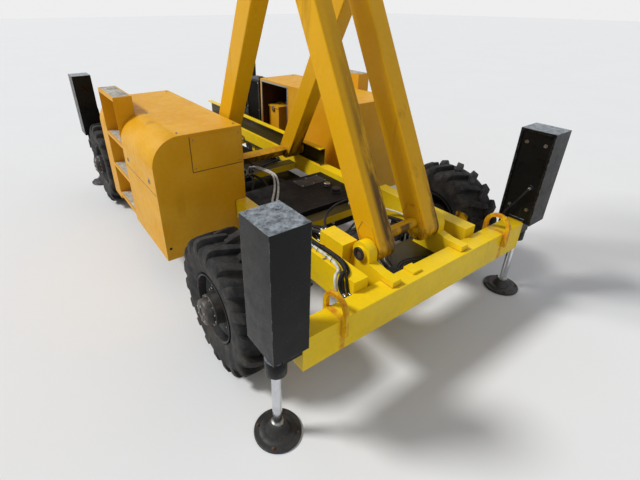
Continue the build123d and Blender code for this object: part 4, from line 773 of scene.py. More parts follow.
def hose_clip(b, x, y, tab_side):
    """A strap over a hose that lies along Y on the raised rail, with its foot and bolt."""
    z, radius, thick, wide = 709.3, 9.3, 1.8, 8
    arch = [(math.cos(a), math.sin(a)) for a in (math.pi * k / 10 for k in range(11))]
    strap = [(x + (radius + thick) * c, z + (radius + thick) * s) for c, s in arch]
    inner = [(x + radius * c, z + radius * s) for c, s in reversed(arch)]
    b.plate(strap + inner, y - wide, y + wide, 1, "zinc", 0)
    foot, base = x + tab_side * radius, z - radius
    b.box((foot, y - wide, base), (foot + tab_side * 22, y + wide, base + 2), "zinc", 0.5)
    b.screw((foot + tab_side * 13, y, base + 2), UP, 8)


def nipple(b, at, axis):
    """A grease nipple."""
    b.turned([(0, 4.5), (3, 4.5), (3, 2.8), (5.5, 2.2), (7, 0)], at, axis, "zinc", 10)


def rivet(b, at, axis):
    """A round rivet head."""
    b.turned([(0, 7.5), (2.2, 6), (3.4, 0)], at, axis, "zinc", 16)


# Scissor arms, drawn like the part's arms: lying along Y from the foot pin, then turned

INNER_X = 137
INNER_FACE = 262
OUTER_X = 297
PIN_END = 430
TIE = 35
FOOT_TIE = 170
HEAD_TIE = ARM - FOOT_TIE
INNER_TIES = (  # for each level: distance along the arm, height off its middle line, half the tube's side
    ((HEAD_TIE, 0, TIE), (ARM / 2, 0, TIE), (3200, -60, TIE)),
    ((FOOT_TIE, 0, TIE), (HEAD_TIE, 0, TIE), (1775, 10, 30)),
    ((FOOT_TIE, 0, TIE), (HEAD_TIE, 0, TIE), (ARM / 2, 0, TIE), (3200, -60, TIE)),
    ((FOOT_TIE, 0, TIE), (1775, 10, 30)),
)
SHOULDER = ((0, -62), (120, -62), (168, 0), (120, 62), (0, 62))
SNAP_RING = ((-5.5, 37.5), (-5.5, 42.5), (-3, 42.5), (-3, 37.5))


def arm_place(level, outer):
    """From an arm pair's own axes to the machine's."""
    y = SLIDER_Y if outer else FOOT_Y
    angle = math.pi - REST_ANGLE if outer else REST_ANGLE
    foot = MM * Vector((0, y, FOOT_Z + level * LEVEL_RISE))
    return Matrix.Translation(foot) @ Matrix.Rotation(angle, 4, "X")


def arm_details():
    """Weld beads at the ties and plates, snap rings and grease nipples at the pins."""
    for level, ties in enumerate(INNER_TIES):
        b = Build()
        for along, offset, half in ties:
            for side in SIDES:
                square_weld(b, side * (INNER_X - 0.5), along, offset, half + 1)
        for side in SIDES:
            pin = Vector((side * PIN_END, ARM / 2, 0))
            axis = (side, 0, 0)
            b.ring(SNAP_RING, pin, axis, "zinc")
            b.turned([(-1, 23.5), (0.6, 22.5)], pin, axis, "hub", 32)
            nipple(b, pin - Vector((side, 0, 0)), axis)
            if level == 0:
                for x in (side * (INNER_X - 10.5), side * (INNER_FACE + 0.5)):
                    weld(b, [(x, y, z) for y, z in SHOULDER], 3)
                ring_weld(b, side * (INNER_X - 4.5), 45, 0, 34)
        place = arm_place(level, False)
        b.done(f"arm_fittings_inner_{level + 1}", f"inner_{level + 1}", place)

        b = Build()
        for side in SIDES:
            axis = (side, 0, 0)
            for along in ((ARM,) if level == 0 else (0, ARM)):
                end = Vector((side * PIN_END, along, 0))
                b.turned([(-1, 30.5), (1.2, 30)], end, axis, "hub", 36)
                for y, z in circle(2, 20.5, 0.25):
                    b.screw(end + Vector((0, y, z)), axis, 8)
                nipple(b, end, axis)
            if level == 0:
                square_weld(b, side * (OUTER_X - 0.5), 0, 0, TIE + 1)
        place = arm_place(level, True)
        b.done(f"arm_fittings_outer_{level + 1}", f"outer_{level + 1}", place)


BARREL_FOOT = (1350, 30)  # along the arm from its middle, and off it
ROD_HEAD = (-150, -50)
GLAND = 1370


def cylinder_details():
    """Gland bolts, port blocks with their hose ends, and the wiper ring of each lift cylinder."""
    up = Vector((0, math.cos(REST_ANGLE), math.sin(REST_ANGLE)))
    off = Vector((0, -math.sin(REST_ANGLE), math.cos(REST_ANGLE)))
    for name, level in (("lower", 0), ("upper", 2)):
        middle = Vector((0, (FOOT_Y + SLIDER_Y) / 2, FOOT_Z + (level + 0.5) * LEVEL_RISE))
        foot = middle + BARREL_FOOT[0] * up + BARREL_FOOT[1] * off
        head = middle + Vector((0, 0, LEVEL_RISE)) + ROD_HEAD[0] * up + ROD_HEAD[1] * off
        line = (head - foot).normalized()
        rise = Vector(RIGHT).cross(line)
        gland = foot + GLAND * line
        b = Build()
        for x, z in circle(8, 50):
            b.screw(gland + x * Vector(RIGHT) + z * rise, line, 10)
        b.ring([(0, 32.5), (0, 40), (4, 39), (6.5, 34.5), (6.5, 32.5)], gland, line, "hose")
        for distance in (150, 1270):
            base = foot + distance * line + 58 * rise
            b.cylinder(base, base + 16 * rise, 14, "cylinder")
            b.cylinder(base + 16 * rise, base + 24 * rise, 10, "zinc", count=6)
        for distance in (118, 1288):
            profile = [(0, 59.5), (0, 63.5), (2, 64.5), (4, 63.5), (4, 59.5)]
            b.ring(profile, foot + distance * line, line, "cylinder", 48)
        b.done(f"{name}_cylinder_fittings", f"{name}_barrel")


# Frame

LUG_FACE = 346
RING_X = 700
FRAME_HOSE = 9
VALVE_BOX_BACK = -1487
PIN_COLLAR = ((0, 22), (0, 40), (9, 40), (11, 38), (11, 26), (9, 22))
FRAME_HOSE_ENDS = (  # place on the face, direction away from it
    ((-370, VALVE_BOX_BACK, 701.3), FAR), ((-342, VALVE_BOX_BACK, 701.3), FAR),
    ((-314, VALVE_BOX_BACK, 690), FAR),
    ((-553, -BEAM_BACK, 592), FAR), ((-581, -BEAM_BACK, 578), FAR),
    ((230, -1070, 565), UP), ((-30, 0, 565), UP), ((-268, -800, 600), UP),
)
MEMBER_EDGES = (-1120, -1020, -60, 60, 1000, 1100, 1760, 1860)
TRACK_WELDS = (-330, 70, 470, 870, 1270, 1670)


def frame_details():
    """Weld beads, pin collars, hose ends and clips of the frame."""
    b = Build()
    top = BEAM_TOP + 1
    for side in SIDES:
        pin = (side * (LUG_FACE - 1), FOOT_Y, FOOT_Z)
        b.ring(PIN_COLLAR, pin, (side, 0, 0), "steel")
        b.turned([(0, 22.5), (2, 22.5)], pin, (side, 0, 0), "rust", 24)
        for x in (269.5, 332.5):
            weld(b, [(side * x, -2031, top), (side * x, -1944, top)])
        weld(b, [(side * 270, -2031.5, top), (side * 332, -2031.5, top)])
        for sign in SIDES:
            face = sign * BEAM_BACK
            weld(b, [(side * 430, face, 506), (side * 530, face, 506)], 4)
            weld(b, [(side * 531, face, 508), (side * 531, face, 632)], 4)
        for y in MEMBER_EDGES:
            weld(b, [(side * 429.5, y, 507), (side * 429.5, y, 563)])
        for y in TRACK_WELDS:
            weld(b, [(side * 496, y, 645.5), (side * 496, y + 90, 645.5)])
    b.done("frame_welds", "chassis")

    b = Build()
    for at, axis in FRAME_HOSE_ENDS:
        fitting(b, at, axis, FRAME_HOSE)
    for x, y, tab_side in ((-469, -1572, 1), (-467, -1702, 1), (-497, -1547, -1), (-497, -1682, -1)):
        hose_clip(b, x, y, tab_side)
    b.done("hose_fittings", "chassis")


LOOSE_HOSES = (  # radius, material, points from one end to the other
    (9, "hose", ((-356, -1487, 728), (-356, -1440, 728), (-392, -1385, 732), (-455, -1405, 729),
                 (-486, -1507, 728), (-478, -1637, 728), (-482, -1767, 728), (-515, -1850, 729),
                 (-556, -1868, 720), (-568, -1870, 668), (-566, -1892, 622), (-567, -1943, 612))),
    (7, "hose", ((-328, -1487, 728), (-330, -1435, 728), (-385, -1368, 724), (-442, -1400, 708.5),
                 (-456, -1507, 707.5), (-447, -1637, 707.5), (-452, -1767, 707.5), (-487, -1850, 707.5),
                 (-533, -1884, 707), (-538.5, -1898, 660), (-536, -1912, 618), (-536, -1943, 612))),
    (9, "hose", ((-378, -1487, 655), (-380, -1430, 662), (-402, -1345, 712), (-480, -1312, 711.5),
                 (-556, -1322, 706), (-604, -1352, 640), (-620, -1388, 560), (-620, -1400, 486))),
    (9, "hose", ((-350, -1487, 655), (-352, -1420, 664), (-390, -1315, 713), (-480, -1290, 711.5),
                 (-572, -1305, 705), (-630, -1345, 640), (-650, -1388, 560), (-650, -1400, 486))),
    (9, "hose", ((-322, -1487, 655), (-324, -1410, 664), (-378, -1285, 714), (-480, -1268, 711.5),
                 (-566, -1282, 712), (-646, -1330, 650), (-680, -1388, 560), (-680, -1400, 486))),
    (8, "hose", ((-300, -1487, 620), (-290, -1400, 600), (-235, -1300, 560), (-180, -1250, 530),
                 (-165, -1236, 462))),
    (8, "hose", ((-300, -1520, 600), (-200, -1450, 585), (30, -1330, 575), (150, -1255, 540),
                 (165, -1236, 462))),
    (11, "hose", ((-250, -1000, 520), (-252, -1080, 530), (-300, -1240, 560), (-345, -1400, 590),
                  (-345, -1487, 600))),
    (11, "hose", ((-210, -1000, 500), (-210, -1090, 505), (-262, -1260, 535), (-317, -1410, 580),
                  (-317, -1487, 590))),
    (13, "hose", ((330, -1000, 470), (330, -1090, 470), (372, -1210, 500), (400, -1420, 545),
                  (395, -1600, 560), (320, -1700, 560), (300, -1760, 535.5))),
    (6, "hose_white", ((300, -1000, 560), (302, -1060, 566), (345, -1200, 580), (404, -1400, 600),
                       (404, -1660, 600), (388, -1850, 600), (380, -1943, 600))),
    (11, "hose", ((-180, -80, 560), (-190, -150, 600), (-260, -260, 604), (-330, -350, 585),
                  (-372, -440, 560), (-372, -450, 520))),
    (11, "hose", ((-145, -80, 560), (-150, -150, 596), (-185, -290, 600), (-260, -400, 560),
                  (-262, -450, 540))),
    (11, "hose", ((-110, -80, 560), (-105, -160, 590), (-90, -300, 580), (-100, -400, 548),
                  (-100, -450, 540))),
    (9, "hose_white", ((-215, -80, 560), (-240, -150, 594), (-320, -220, 606), (-390, -230, 600),
                       (-412, -130, 590), (-412, 60, 575), (-412, 300, 560))),
    (9, "hose_white", ((-62, 0, 565), (-60, 0, 607), (-36, -70, 617), (4, -190, 613), (8, -300, 611),
                       (-58, -434, 610), (-150, -575, 610), (-244, -700, 610), (-288, -765, 636),
                       (-308, -800, 634), (-308, -802, 600.5))),
    (9, "hose", ((-215, 90, 540), (-220, 150, 570), (-300, 250, 590), (-380, 330, 560), (-392, 600, 545),
                 (-392, 995, 540))),
    (9, "hose", ((-180, 90, 540), (-182, 160, 575), (-250, 280, 590), (-355, 400, 560), (-365, 640, 545),
                 (-365, 995, 540))),
    (9, "hose", ((-60, 20, 540), (60, 20, 570), (240, 60, 580), (370, 160, 560), (395, 420, 545),
                 (395, 995, 540))),
)
TIES = ((-476.5, -1600), (-477.5, -1727))
TIE_LINE = ((-33, 701.2), (-33, 714), (-12, 738.5), (0, 738.5), (28, 716.5), (29, 701.2))
PUMP = (120, -370, 470)
PUMP_BODY = ((0, 52), (14, 60), (150, 60), (160, 70), (186, 70), (192, 46), (236, 46), (242, 38))


def hoses():
    """Bundled hoses, valve block, pump, a black plate under the frame as painted shade, and the wires
    between the lugs.
    """
    b = Build()
    for radius, material, points in LOOSE_HOSES:
        b.pipe(points, radius, material, 12, 8)
        for end, inner in ((points[0], points[1]), (points[-1], points[-2])):
            fitting(b, end, (Vector(inner) - Vector(end)).normalized(), radius)
    for x, y in TIES:
        b.pipe([(x + dx, y, z) for dx, z in TIE_LINE], 1.8, "grille", 8, 5)
    b.done("hose_bundles", "chassis")

    b = Build()
    b.box((-240, -80, 505), (-60, 90, 560), "tank", 4)
    for x in (-215, -180, -145, -110):
        b.turned([(0, 16), (20, 16), (22, 14)], (x, 10, 560), UP, "steel", 24)
        b.cylinder((x, 10, 580), (x, 10, 596), 9, "zinc", count=6)
    b.turned(PUMP_BODY, PUMP, FAR, "tank", 40)
    for dx, dz in circle(4, 62, 0.5):
        b.screw((PUMP[0] + dx, PUMP[1] + 186, PUMP[2] + dz), FAR, 12)
    b.box((60, -450, 405), (180, -370, 535), "steel", 3)
    b.done("valve_block_and_pump", "chassis")

    # Painted shade: a black plate under the frame hides the bright floor between the rails.
    b = Build()
    low, high = 438, 444
    b.box((-424, -440, low), (424, 1120, high), "tank")
    for side in SIDES:
        for y in (-400, 0, 400, 800, 1080):
            b.bolt((side * 400, y, low), DOWN, 14)
        for y in (-300, 360, 780):
            b.box((side * 200 - 6, y, high - 1), (side * 200 + 6, y + 240, high + 14), "tank")
    b.done("dark_shade_plate", "chassis")

    b = Build()
    b.box((-190, -1900, 534.5), (-90, -1830, 572), "plastic", 3)
    for k in range(6):
        start = Vector((-176 + 16 * k, -1830, 556))
        reach = Vector((40 * k - 60, 190, -19))
        lift = Vector((10 * (k % 3), 70, 22 + 6 * (k % 2)))
        wire = [start, start + lift, start + 0.6 * reach + Vector((30, 0, 20)), start + reach]
        b.pipe(wire, 3.5, "hose_white" if k % 3 == 1 else "hose", 8)
    for k in range(3):
        start = Vector((-90, -1886 + 18 * k, 556))
        wire = [start, start + Vector((60, 10, 26)), start + Vector((130 + 30 * k, -20, 24)),
                (90 + 50 * k, -BEAM_BACK, 590)]
        b.pipe(wire, 3.5, "hose", 8)
    b.done("junction_box", "chassis")


def lifting_rings():
    """The beads that hold the lifting rings."""
    for end, sign in ENDS:
        b = Build()
        for side in SIDES:
            for y in (sign * (BEAM_BACK - 2), sign * (BEAM_FACE + 2)):
                for x in (side * (RING_X - 14), side * (RING_X + 14)):
                    weld(b, [(x, y, 541), (x, y, 632)], 4)
        b.done(f"{end}_beam_welds", "chassis")


COVER_BACK = 950
COVER_LIP = 938.5
COVER_INNER, COVER_OUTER = 1878, 2100
LEG_WIPER = ((-1.5, 25.5), (-1.5, 50), (0, 52), (4, 52), (4, 25.5))


def jack_details():
    """Back-plate bolts, hose ends, wiper rings and folded lips of the jack covers."""
    for end, sign in ENDS:
        for hand, side in HANDS:
            b = Build()
            back, inward = side * COVER_BACK, (-side, 0, 0)
            for z in (730, 1180):
                for y in (sign * 1930, sign * 2048):
                    b.bolt((back, y, z), inward, 17)
            port = (back, sign * 2034, 886)
            fitting(b, port, inward, 7)
            fitting(b, (side * 906, sign * BEAM_BACK, 576), (0, -sign, 0), 7)
            b.cylinder(port, (back - side * 4, *port[1:]), 20, "jack")
            b.ring(LEG_WIPER, (side * JACK_X, sign * JACK_Y, 449), UP, "steel")
            for dx, dy in circle(4, 41, 0.5):
                b.screw((side * JACK_X + dx, sign * JACK_Y + dy, 447.5), DOWN, 9)
            for y0, y1, z0, z1 in ((COVER_INNER, COVER_INNER + 14, 630, 1264),
                                   (COVER_OUTER - 14, COVER_OUTER, 630, 1264),
                                   (COVER_INNER, COVER_OUTER, 1252, 1266.5)):
                b.box((side * COVER_LIP, sign * y0, z0), (side * (COVER_LIP + 4), sign * y1, z1), "jack", 1)
            weld(b, [(side * 941, sign * 1950, 635.5), (side * 941, sign * 2050, 635.5)], 3)
            b.done(f"jack_fittings_{end}_{hand}", "chassis")


# Hoods and steps

HOOD_TOP = 1215
LEFT_HOOD_X = -1100
RIGHT_HOOD_X = 1301
HOOD_END_Y = -633


def latch(b, x, y, side):
    """A quarter-turn latch with a slotted head on a hood's outer side."""
    b.turned([(-1, 21), (3, 20)], (x, y, 900), (side, 0, 0), "zinc", 28)
    b.box((x + side * 2, y - 3.5, 888), (x + side * 4.5, y + 3.5, 912), "seam", 0.6)


def hood_details():
    """The left hood's panel, screws and latches, and the right hood's framed and lined hatch."""
    b = Build()
    face = HOOD_END_Y
    x0, x1, z0, z1 = -834, -452, 944, 1195
    gap = 2.2
    b.box((x0 + 4, face - 1.8, z0 + 4), (x1, face, z1), "hood", 0.8)
    b.box((x0 - gap, face - 0.6, z0 - gap), (x0 + gap, face + 1, z1), "seam", 0)
    b.box((x0, face - 0.6, z0 - gap), (x1, face + 1, z0 + gap), "seam", 0)
    for x in (-1068, -480):
        b.turned([(-1, 10.5), (0.6, 10.5)], (x, face, 413), NEAR, "seam", 20)
    for x, z in ((-474, 1168), (-474, 968), (-810, 968), (-810, 1168)):
        b.screw((x, face - 1.6, z), NEAR, 9)
    for x, y in ((-893, -574), (-893, 75), (-893, 800), (-480, -574), (-480, 800)):
        b.bolt((x, y, HOOD_TOP), UP, 11)
    for y in (-500, 20):
        latch(b, LEFT_HOOD_X, y, -1)
    b.box((LEFT_HOOD_X - 0.6, -620, 828.5), (LEFT_HOOD_X + 1, 135, 831.5), "seam", 0)
    b.done("hood_left_fittings", "chassis")

    b = Build()
    inner = 647
    y0, y1, z0, z1 = 410, 915, 700, 1185
    wide = 16
    bars = ((y0 - wide, y1 + wide, z1, z1 + wide), (y0 - wide, y1 + wide, z0 - wide, z0),
            (y0 - wide, y0, z0, z1), (y1, y1 + wide, z0, z1))
    for near, far, low, high in bars:
        b.box((inner - 4, near, low), (inner, far, high), "aluminium", 1)
    for y in (y0 - wide / 2, y1 + wide / 2):
        for k in range(5):
            spot = (inner - 4, y, z0 + (z1 - z0) * k / 4)
            b.turned([(0, 3.2), (1.2, 2.8), (1.8, 0)], spot, LEFT, "zinc", 12)
    b.box((1000, 300, 512), (1008, 940, 1190), "lining", 1)
    b.box((655, 936, 512), (1000, 943, 1190), "lining", 1)
    b.box((655, 300, 1196), (1000, 940, 1204), "lining", 1)
    for k in range(7):
        z = 600 + 90 * k
        b.box((994, 310, z), (1001, 934, z + 22), "lining")
    for x, y in ((700, -574), (1060, -574), (700, 900), (1060, 900)):
        b.bolt((x, y, HOOD_TOP), UP, 11)
    for y in (-520, -200, 500, 860):
        latch(b, RIGHT_HOOD_X, y, 1)
    for k in range(9):
        z = 440 + 30 * k
        b.box((RIGHT_HOOD_X - 1, -560, z), (RIGHT_HOOD_X + 3.5, -180, z + 12), "hood", 1.2)
        b.box((RIGHT_HOOD_X - 1, -556, z - 7.5), (RIGHT_HOOD_X + 0.6, -184, z), "seam", 0)
    b.done("hood_right_fittings", "chassis")


STEP_TREADS = (390, 685, 980, 1344)
STEP_LENGTH = 500


def step_details():
    """Worn anti-slip strips on the treads."""
    hoods = (("left", -1, -LEFT_HOOD_X, 140), ("right", 1, RIGHT_HOOD_X, -100))
    for hand, side, outer, near in hoods:
        b = Build()
        for z in STEP_TREADS:
            top = z + 1.2
            margin = 14 if z == STEP_TREADS[-1] else 20
            x0, x1 = outer - 128, outer - 10
            y0, y1 = near + margin, near + STEP_LENGTH - margin
            b.box((side * x0, y0, z), (side * x1, y1, top), "tread", 0.5)
            for i in range(4):
                for k in range(15):
                    knob = (side * (x0 + 14 + 30 * i), y0 + 16 + k * (y1 - y0 - 32) / 14, top - 0.2)
                    b.turned([(0, 6), (1.8, 4.5)], knob, UP, "tread", 8)
        b.done(f"step_treads_{hand}", "chassis")


# Engine, cooler and tank

BELT_Y = 100
BELT = ((945, 640), (920, 572), (870, 556), (815, 580), (790, 650), (815, 810), (868, 856), (935, 830),
        (1010, 800), (1030, 765), (995, 735))
PULLEYS = (  # place, turned profile, facets
    ((870, 80, 640), ((0, 85), (8, 90), (14, 78), (22, 78), (30, 90), (36, 0)), 40),
    ((870, 78, 800), ((0, 60), (6, 62), (12, 52), (20, 52), (28, 62), (34, 0)), 40),
    ((1000, 78, 770), ((0, 34), (6, 36), (12, 28), (20, 28), (28, 36), (34, 0)), 32),
)
FAN = (870, 117, 800)
FAN_PITCH = math.radians(28)


def engine():
    """A four-cylinder diesel with its covers, fan, pulleys, filters, exhaust and hydraulic pump."""
    b = Build()
    b.box((780, -300, 620), (960, 80, 860), "engine", 10)
    b.box((800, -290, 520), (940, 60, 622), "engine", 20)
    b.box((775, -300, 858), (965, 75, 935), "engine", 6)
    b.box((815, -290, 933), (925, 65, 990), "cylinder", 16)
    for i in range(5):
        for x in (790, 950):
            b.screw((x, -270 + 78 * i, 935), UP, 13)
    for i in range(4):
        y = -245 + 90 * i
        b.box((700, y - 20, 880), (780, y + 20, 915), "rust", 6)
        b.cylinder((962, y, 900), (1010, y, 930), 17, "aluminium")
        b.pipe([(870, y, 990), (880, y, 1012), (930, y + 10, 1010), (975, y, 975)], 3.5, "zinc", 8, 5)
    b.box((690, -285, 872), (722, 55, 922), "rust", 10)
    b.box((1000, -285, 915), (1042, 55, 965), "aluminium", 14)
    b.turned([(0, 150), (30, 158), (60, 158), (75, 120)], (870, -300, 700), NEAR, "engine", 48)
    b.box((800, -470, 640), (940, -372, 760), "cylinder", 12)
    for z in (665, 735):
        b.cylinder((940, -420, z), (985, -420, z), 20, "zinc", count=6)
        line = [(985, -420, z), (1020, -415, z - 10), (1035, -405, z - 80), (1035, -402, 560)]
        b.pipe(line, 13, "hose", 12)
    for at, profile, facets in PULLEYS:
        b.turned(profile, at, FAR, "cylinder", facets)
    b.pipe([(x, BELT_Y, z) for x, z in BELT], 5.5, "hose", 8, closed=True)
    for k in range(6):
        turn = Matrix.Translation(MM * Vector(FAN)) @ Matrix.Rotation(k * math.pi / 3, 4, "Y")
        b.box((-22, -1, 30), (22, 2, 150), "cylinder", 1, turn @ Matrix.Rotation(FAN_PITCH, 4, "X"))
    b.turned([(0, 60), (10, 64), (120, 64), (132, 55)], (1000, 60, 770), NEAR, "aluminium", 32)
    for y, radius, length in ((-160, 38, 105), (-50, 34, 90)):
        profile = [(0, radius), (length - 12, radius), (length, radius - 12)]
        b.turned(profile, (990, y, 660), DOWN, "tread", 32)
        b.box((955, y - 20, 655), (1010, y + 20, 685), "engine", 4)
    b.turned([(0, 70), (10, 78), (300, 78), (312, 66)], (745, -440, 955), FAR, "cylinder", 40)
    b.pipe([(706, -280, 890), (706, -330, 880), (712, -400, 830), (716, -430, 700), (716, -432, 560)],
           22, "rust", 14)
    for y, web_near, web_far in ((-400, -370, -280), (90, 30, 76)):
        for x in (770, 970):
            b.box((x - 30, y - 28, 505), (x + 30, y + 28, 528), "hose", 4)
            b.bolt((x, y, 540), UP, 16)
        b.box((735, y - 26, 528), (1005, y + 26, 540), "engine", 3)
        b.box((800, web_near, 536), (940, web_far, 640), "engine", 6)
    piece = b.done("engine", "chassis")
    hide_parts("engine_block")


def cooler_details():
    """Folded core between the fins, filler cap, mounting bolts and hose unions of the cooler."""
    b = Build()
    for i in range(40):
        z = 536 + 16 * i
        b.box((664, 1001, z), (666.2, 1244, z + 7.5), "aluminium", 0)
    b.turned([(0, 22), (10, 22), (10, 30), (20, 29), (22, 24)], (720, 1060, 1190), UP, "steel", 32)
    for y in (990, 1256):
        for z in (540, 847, 1155):
            b.bolt((640, y, z), LEFT, 12)
    for z in (640, 1080):
        b.cylinder((720, 1270, z), (720, 1286, z), 19, "zinc", count=6)
    b.done("cooler_fittings", "chassis")


def box_details():
    """Latch, bolts and handle of the box behind the hatch."""
    b = Build()
    x, y, z = 720, 790, 930
    b.box((x - 12.5, y - 22, z - 58), (x - 8, y + 22, z - 3), "zinc", 1)
    b.box((x - 8.5, y - 18, z - 70), (x, y + 18, z - 26), "zinc", 1)
    for dy in (-60, 60):
        b.bolt((x, y + dy, 600), LEFT, 12)
    handle = ((790, 0), (792, 28), (830, 34), (868, 28), (870, 0))
    b.pipe([(across, y, z + rise) for across, rise in handle], 5, "steel")
    b.done("hatch_box_fittings", "chassis")


TANK_TOP = 600


def tank_details():
    """Filler cap, breather, level glass and cover plate of the tank between the rails."""
    b = Build()
    cap = [(0, 46), (4, 46), (4, 36), (12, 36), (16, 38), (30, 38), (34, 34)]
    b.turned(cap, (270, -860, TANK_TOP), UP, "steel", 36)
    b.turned([(0, 20), (10, 20), (10, 28), (30, 28), (34, 24)], (270, -740, TANK_TOP), UP, "zinc", 28)
    b.box((80, -650, TANK_TOP), (350, -500, TANK_TOP + 4), "steel", 1.5)
    for x in (95, 215, 335):
        for y in (-635, -515):
            b.bolt((x, y, TANK_TOP + 4), UP, 12)
    b.box((120, -1001.2, 400), (150, -999.5, 560), "tread", 0.5)
    for z in (405, 555):
        b.screw((135, -1001, z), NEAR, 14)
    b.turned([(0, 20), (12, 20)], (0, -730, 360), DOWN, "zinc", 6)
    weld(b, [(-425, -1000, TANK_TOP - 2), (425, -1000, TANK_TOP - 2)], 2.5, material="steel")
    b.done("tank_fittings", "chassis")


# Axles

DIFF_FLANGE = ((36, 112), (36, 126), (50, 126), (52, 124), (52, 110))
TUBE_RING = ((0, 60), (0, 72), (8, 72), (10, 66), (10, 60))
STEER_LINE = (-WHEEL_Y + 165, WHEEL_Z + 6)
KNUCKLE_X = 775
KNUCKLE_PLATE = ((-234, 456), (-335, 456), (-335, 585), (-323, 597), (-246, 597), (-234, 585))


def axle_details():
    """Cover bolts, breathers and seat bolts of both axles."""
    for end, sign in ENDS:
        b = Build()
        y = sign * WHEEL_Y
        for side in SIDES:
            axis = (side, 0, 0)
            b.ring(DIFF_FLANGE, (0, y, WHEEL_Z), axis, "steel", 56)
            for dy, dz in circle(12, 118, 0.5):
                b.screw((side * 52, y + dy, WHEEL_Z + dz), axis, 12)
            for dy in (-68.5, 68.5):
                for x in (side * 452, side * 508):
                    b.cylinder((x, y + dy, 340), (x, y + dy, 432), 7, "zinc")
                    b.screw((x, y + dy, 352), DOWN, 20)
            b.box((side * 440, y - 86, 352), (side * 520, y + 86, 366), "steel", 3)
            for x in (150, 400, 560):
                b.ring(TUBE_RING, (side * x, y, WHEEL_Z), axis, "steel")
        b.turned([(0, 12), (14, 12), (14, 16), (26, 16)], (62, y, WHEEL_Z + 100), UP, "zinc", 20)
        if end == "near":
            steering_cylinder(b)
        b.done(f"{end}_axle_fittings", "chassis")


def steering_cylinder(b):
    """The double-ended steering cylinder beside the near axle, on two brackets."""
    b.cylinder((-190, *STEER_LINE), (190, *STEER_LINE), 30, "cylinder")
    for side in SIDES:
        b.cylinder((side * 190, *STEER_LINE), (side * 206, *STEER_LINE), 36, "cylinder", count=32)
        b.cylinder((side * 206, *STEER_LINE), (side * 430, *STEER_LINE), 13, "chrome")
        b.turned([(0, 19), (20, 19)], (side * 415, *STEER_LINE), (side, 0, 0), "zinc", 6)
        bracket = ((side * x, dy - WHEEL_Y, WHEEL_Z + dz) for x, dy, dz in ((140, 30, -20), (164, 150, 34)))
        b.box(*bracket, "steel", 3)


def knuckle_details():
    """Shims, flange bolts, steering arm pin and the small plate on each steered knuckle."""
    for hand, side in HANDS:
        b = Build()
        x, y = side * KNUCKLE_X, -WHEEL_Y
        inward = (-side, 0, 0)
        for up in SIDES:
            b.ring([(0, 26), (0, 39), (1, 39), (1, 26)], (x, y, WHEEL_Z + 83.5 * up), (0, 0, up), "zinc")
        for dy, dz in circle(8, 82, 0.5):
            b.screw((side * 829, y + dy, WHEEL_Z + dz), inward, 14)
        b.plate([(y + dy, z) for dy, z in KNUCKLE_PLATE], side * 796, side * 802, 0, "arms")
        b.box((side * 784, y - 280, 470), (side * 796, y - 85, 502), "steel")
        for dy in (-270, -244):
            b.bolt((side * 796, y + dy, 486), inward, 12)
        b.turned([(0, 16), (12, 16), (16, 10)], (x, y + 135, WHEEL_Z + 6), UP, "zinc", 24)
        b.done(f"knuckle_fittings_{hand}", f"knuckle_{hand}")


# Platform

RAIL_X = 905
RAIL_NEAR = -1990
RAIL_BAY = 3950 / 3
RAIL_TOP = DECK_TOP + 1100
RAIL_INNER = RAIL_X - 21
GATE_HINGE_X = 273.7
TOE_BOARD = (-1960, 1940)
LATCH_Z = DECK_TOP + 980
INNER_DECK = DECK_TOP + 14


def platform_details():
    """Weld beads and foot plates at the posts, rivets, hinge rings, the gate's latch and the handles."""
    b = Build()
    for side in SIDES:
        inner, axis = side * RAIL_INNER, (side, 0, 0)
        for k in range(4):
            y = RAIL_NEAR + k * RAIL_BAY
            for z in (DECK_TOP + 529, DECK_TOP + 571, DECK_TOP + 1058):
                weld(b, [(inner, y - 21.5, z), (inner, y + 21.5, z)], 2.2)
            b.box((side * 880, y - 34, DECK_TOP), (side * 926, y + 34, DECK_TOP + 6), "platform", 1)
            for dy in (-28, 28):
                b.screw((side * 890, y + dy, DECK_TOP + 6), UP, 10)
            for dy in (-80, 80):
                if TOE_BOARD[0] < y + dy < TOE_BOARD[1]:
                    rivet(b, (side * 909, y + dy, DECK_TOP + 110), axis)
                    rivet(b, (side * 909, y + dy, DECK_TOP + 40), axis)
    for z in (120, 900):
        hinge = (GATE_HINGE_X, RAIL_NEAR, DECK_TOP + z)
        b.ring([(0, 15.8), (0, 20), (40, 20), (40, 15.8)], hinge, UP, "zinc", 28)
    b.box((-322, RAIL_NEAR - 24, LATCH_Z - 25), (-298, RAIL_NEAR - 20.5, LATCH_Z + 25), "zinc", 1)
    b.done("platform_fittings", "platform")

    b = Build()
    b.box((-278, RAIL_NEAR - 19, LATCH_Z - 25), (-258, RAIL_NEAR - 14.5, LATCH_Z + 25), "zinc", 1)
    b.cylinder((-268, RAIL_NEAR - 18.5, LATCH_Z), (-268, RAIL_NEAR - 34.5, LATCH_Z), 5, "zinc")
    b.cylinder((-268, RAIL_NEAR - 34, LATCH_Z), (-268, RAIL_NEAR - 44, LATCH_Z), 11, "hose")
    b.done("gate_latch", "gate")

    b = Build()
    handle = ((637, 820), (612, 826), (606, 880), (612, 934), (637, 940))
    for side in SIDES:
        for y in (700, 1880):
            b.screw((side * 790, y, INNER_DECK), UP, 12)
        b.pipe([(side * 839, y, INNER_DECK + z) for y, z in handle], 8, "hose", 10, 5)
    b.done("roll_out_handles", "roll_out_deck")


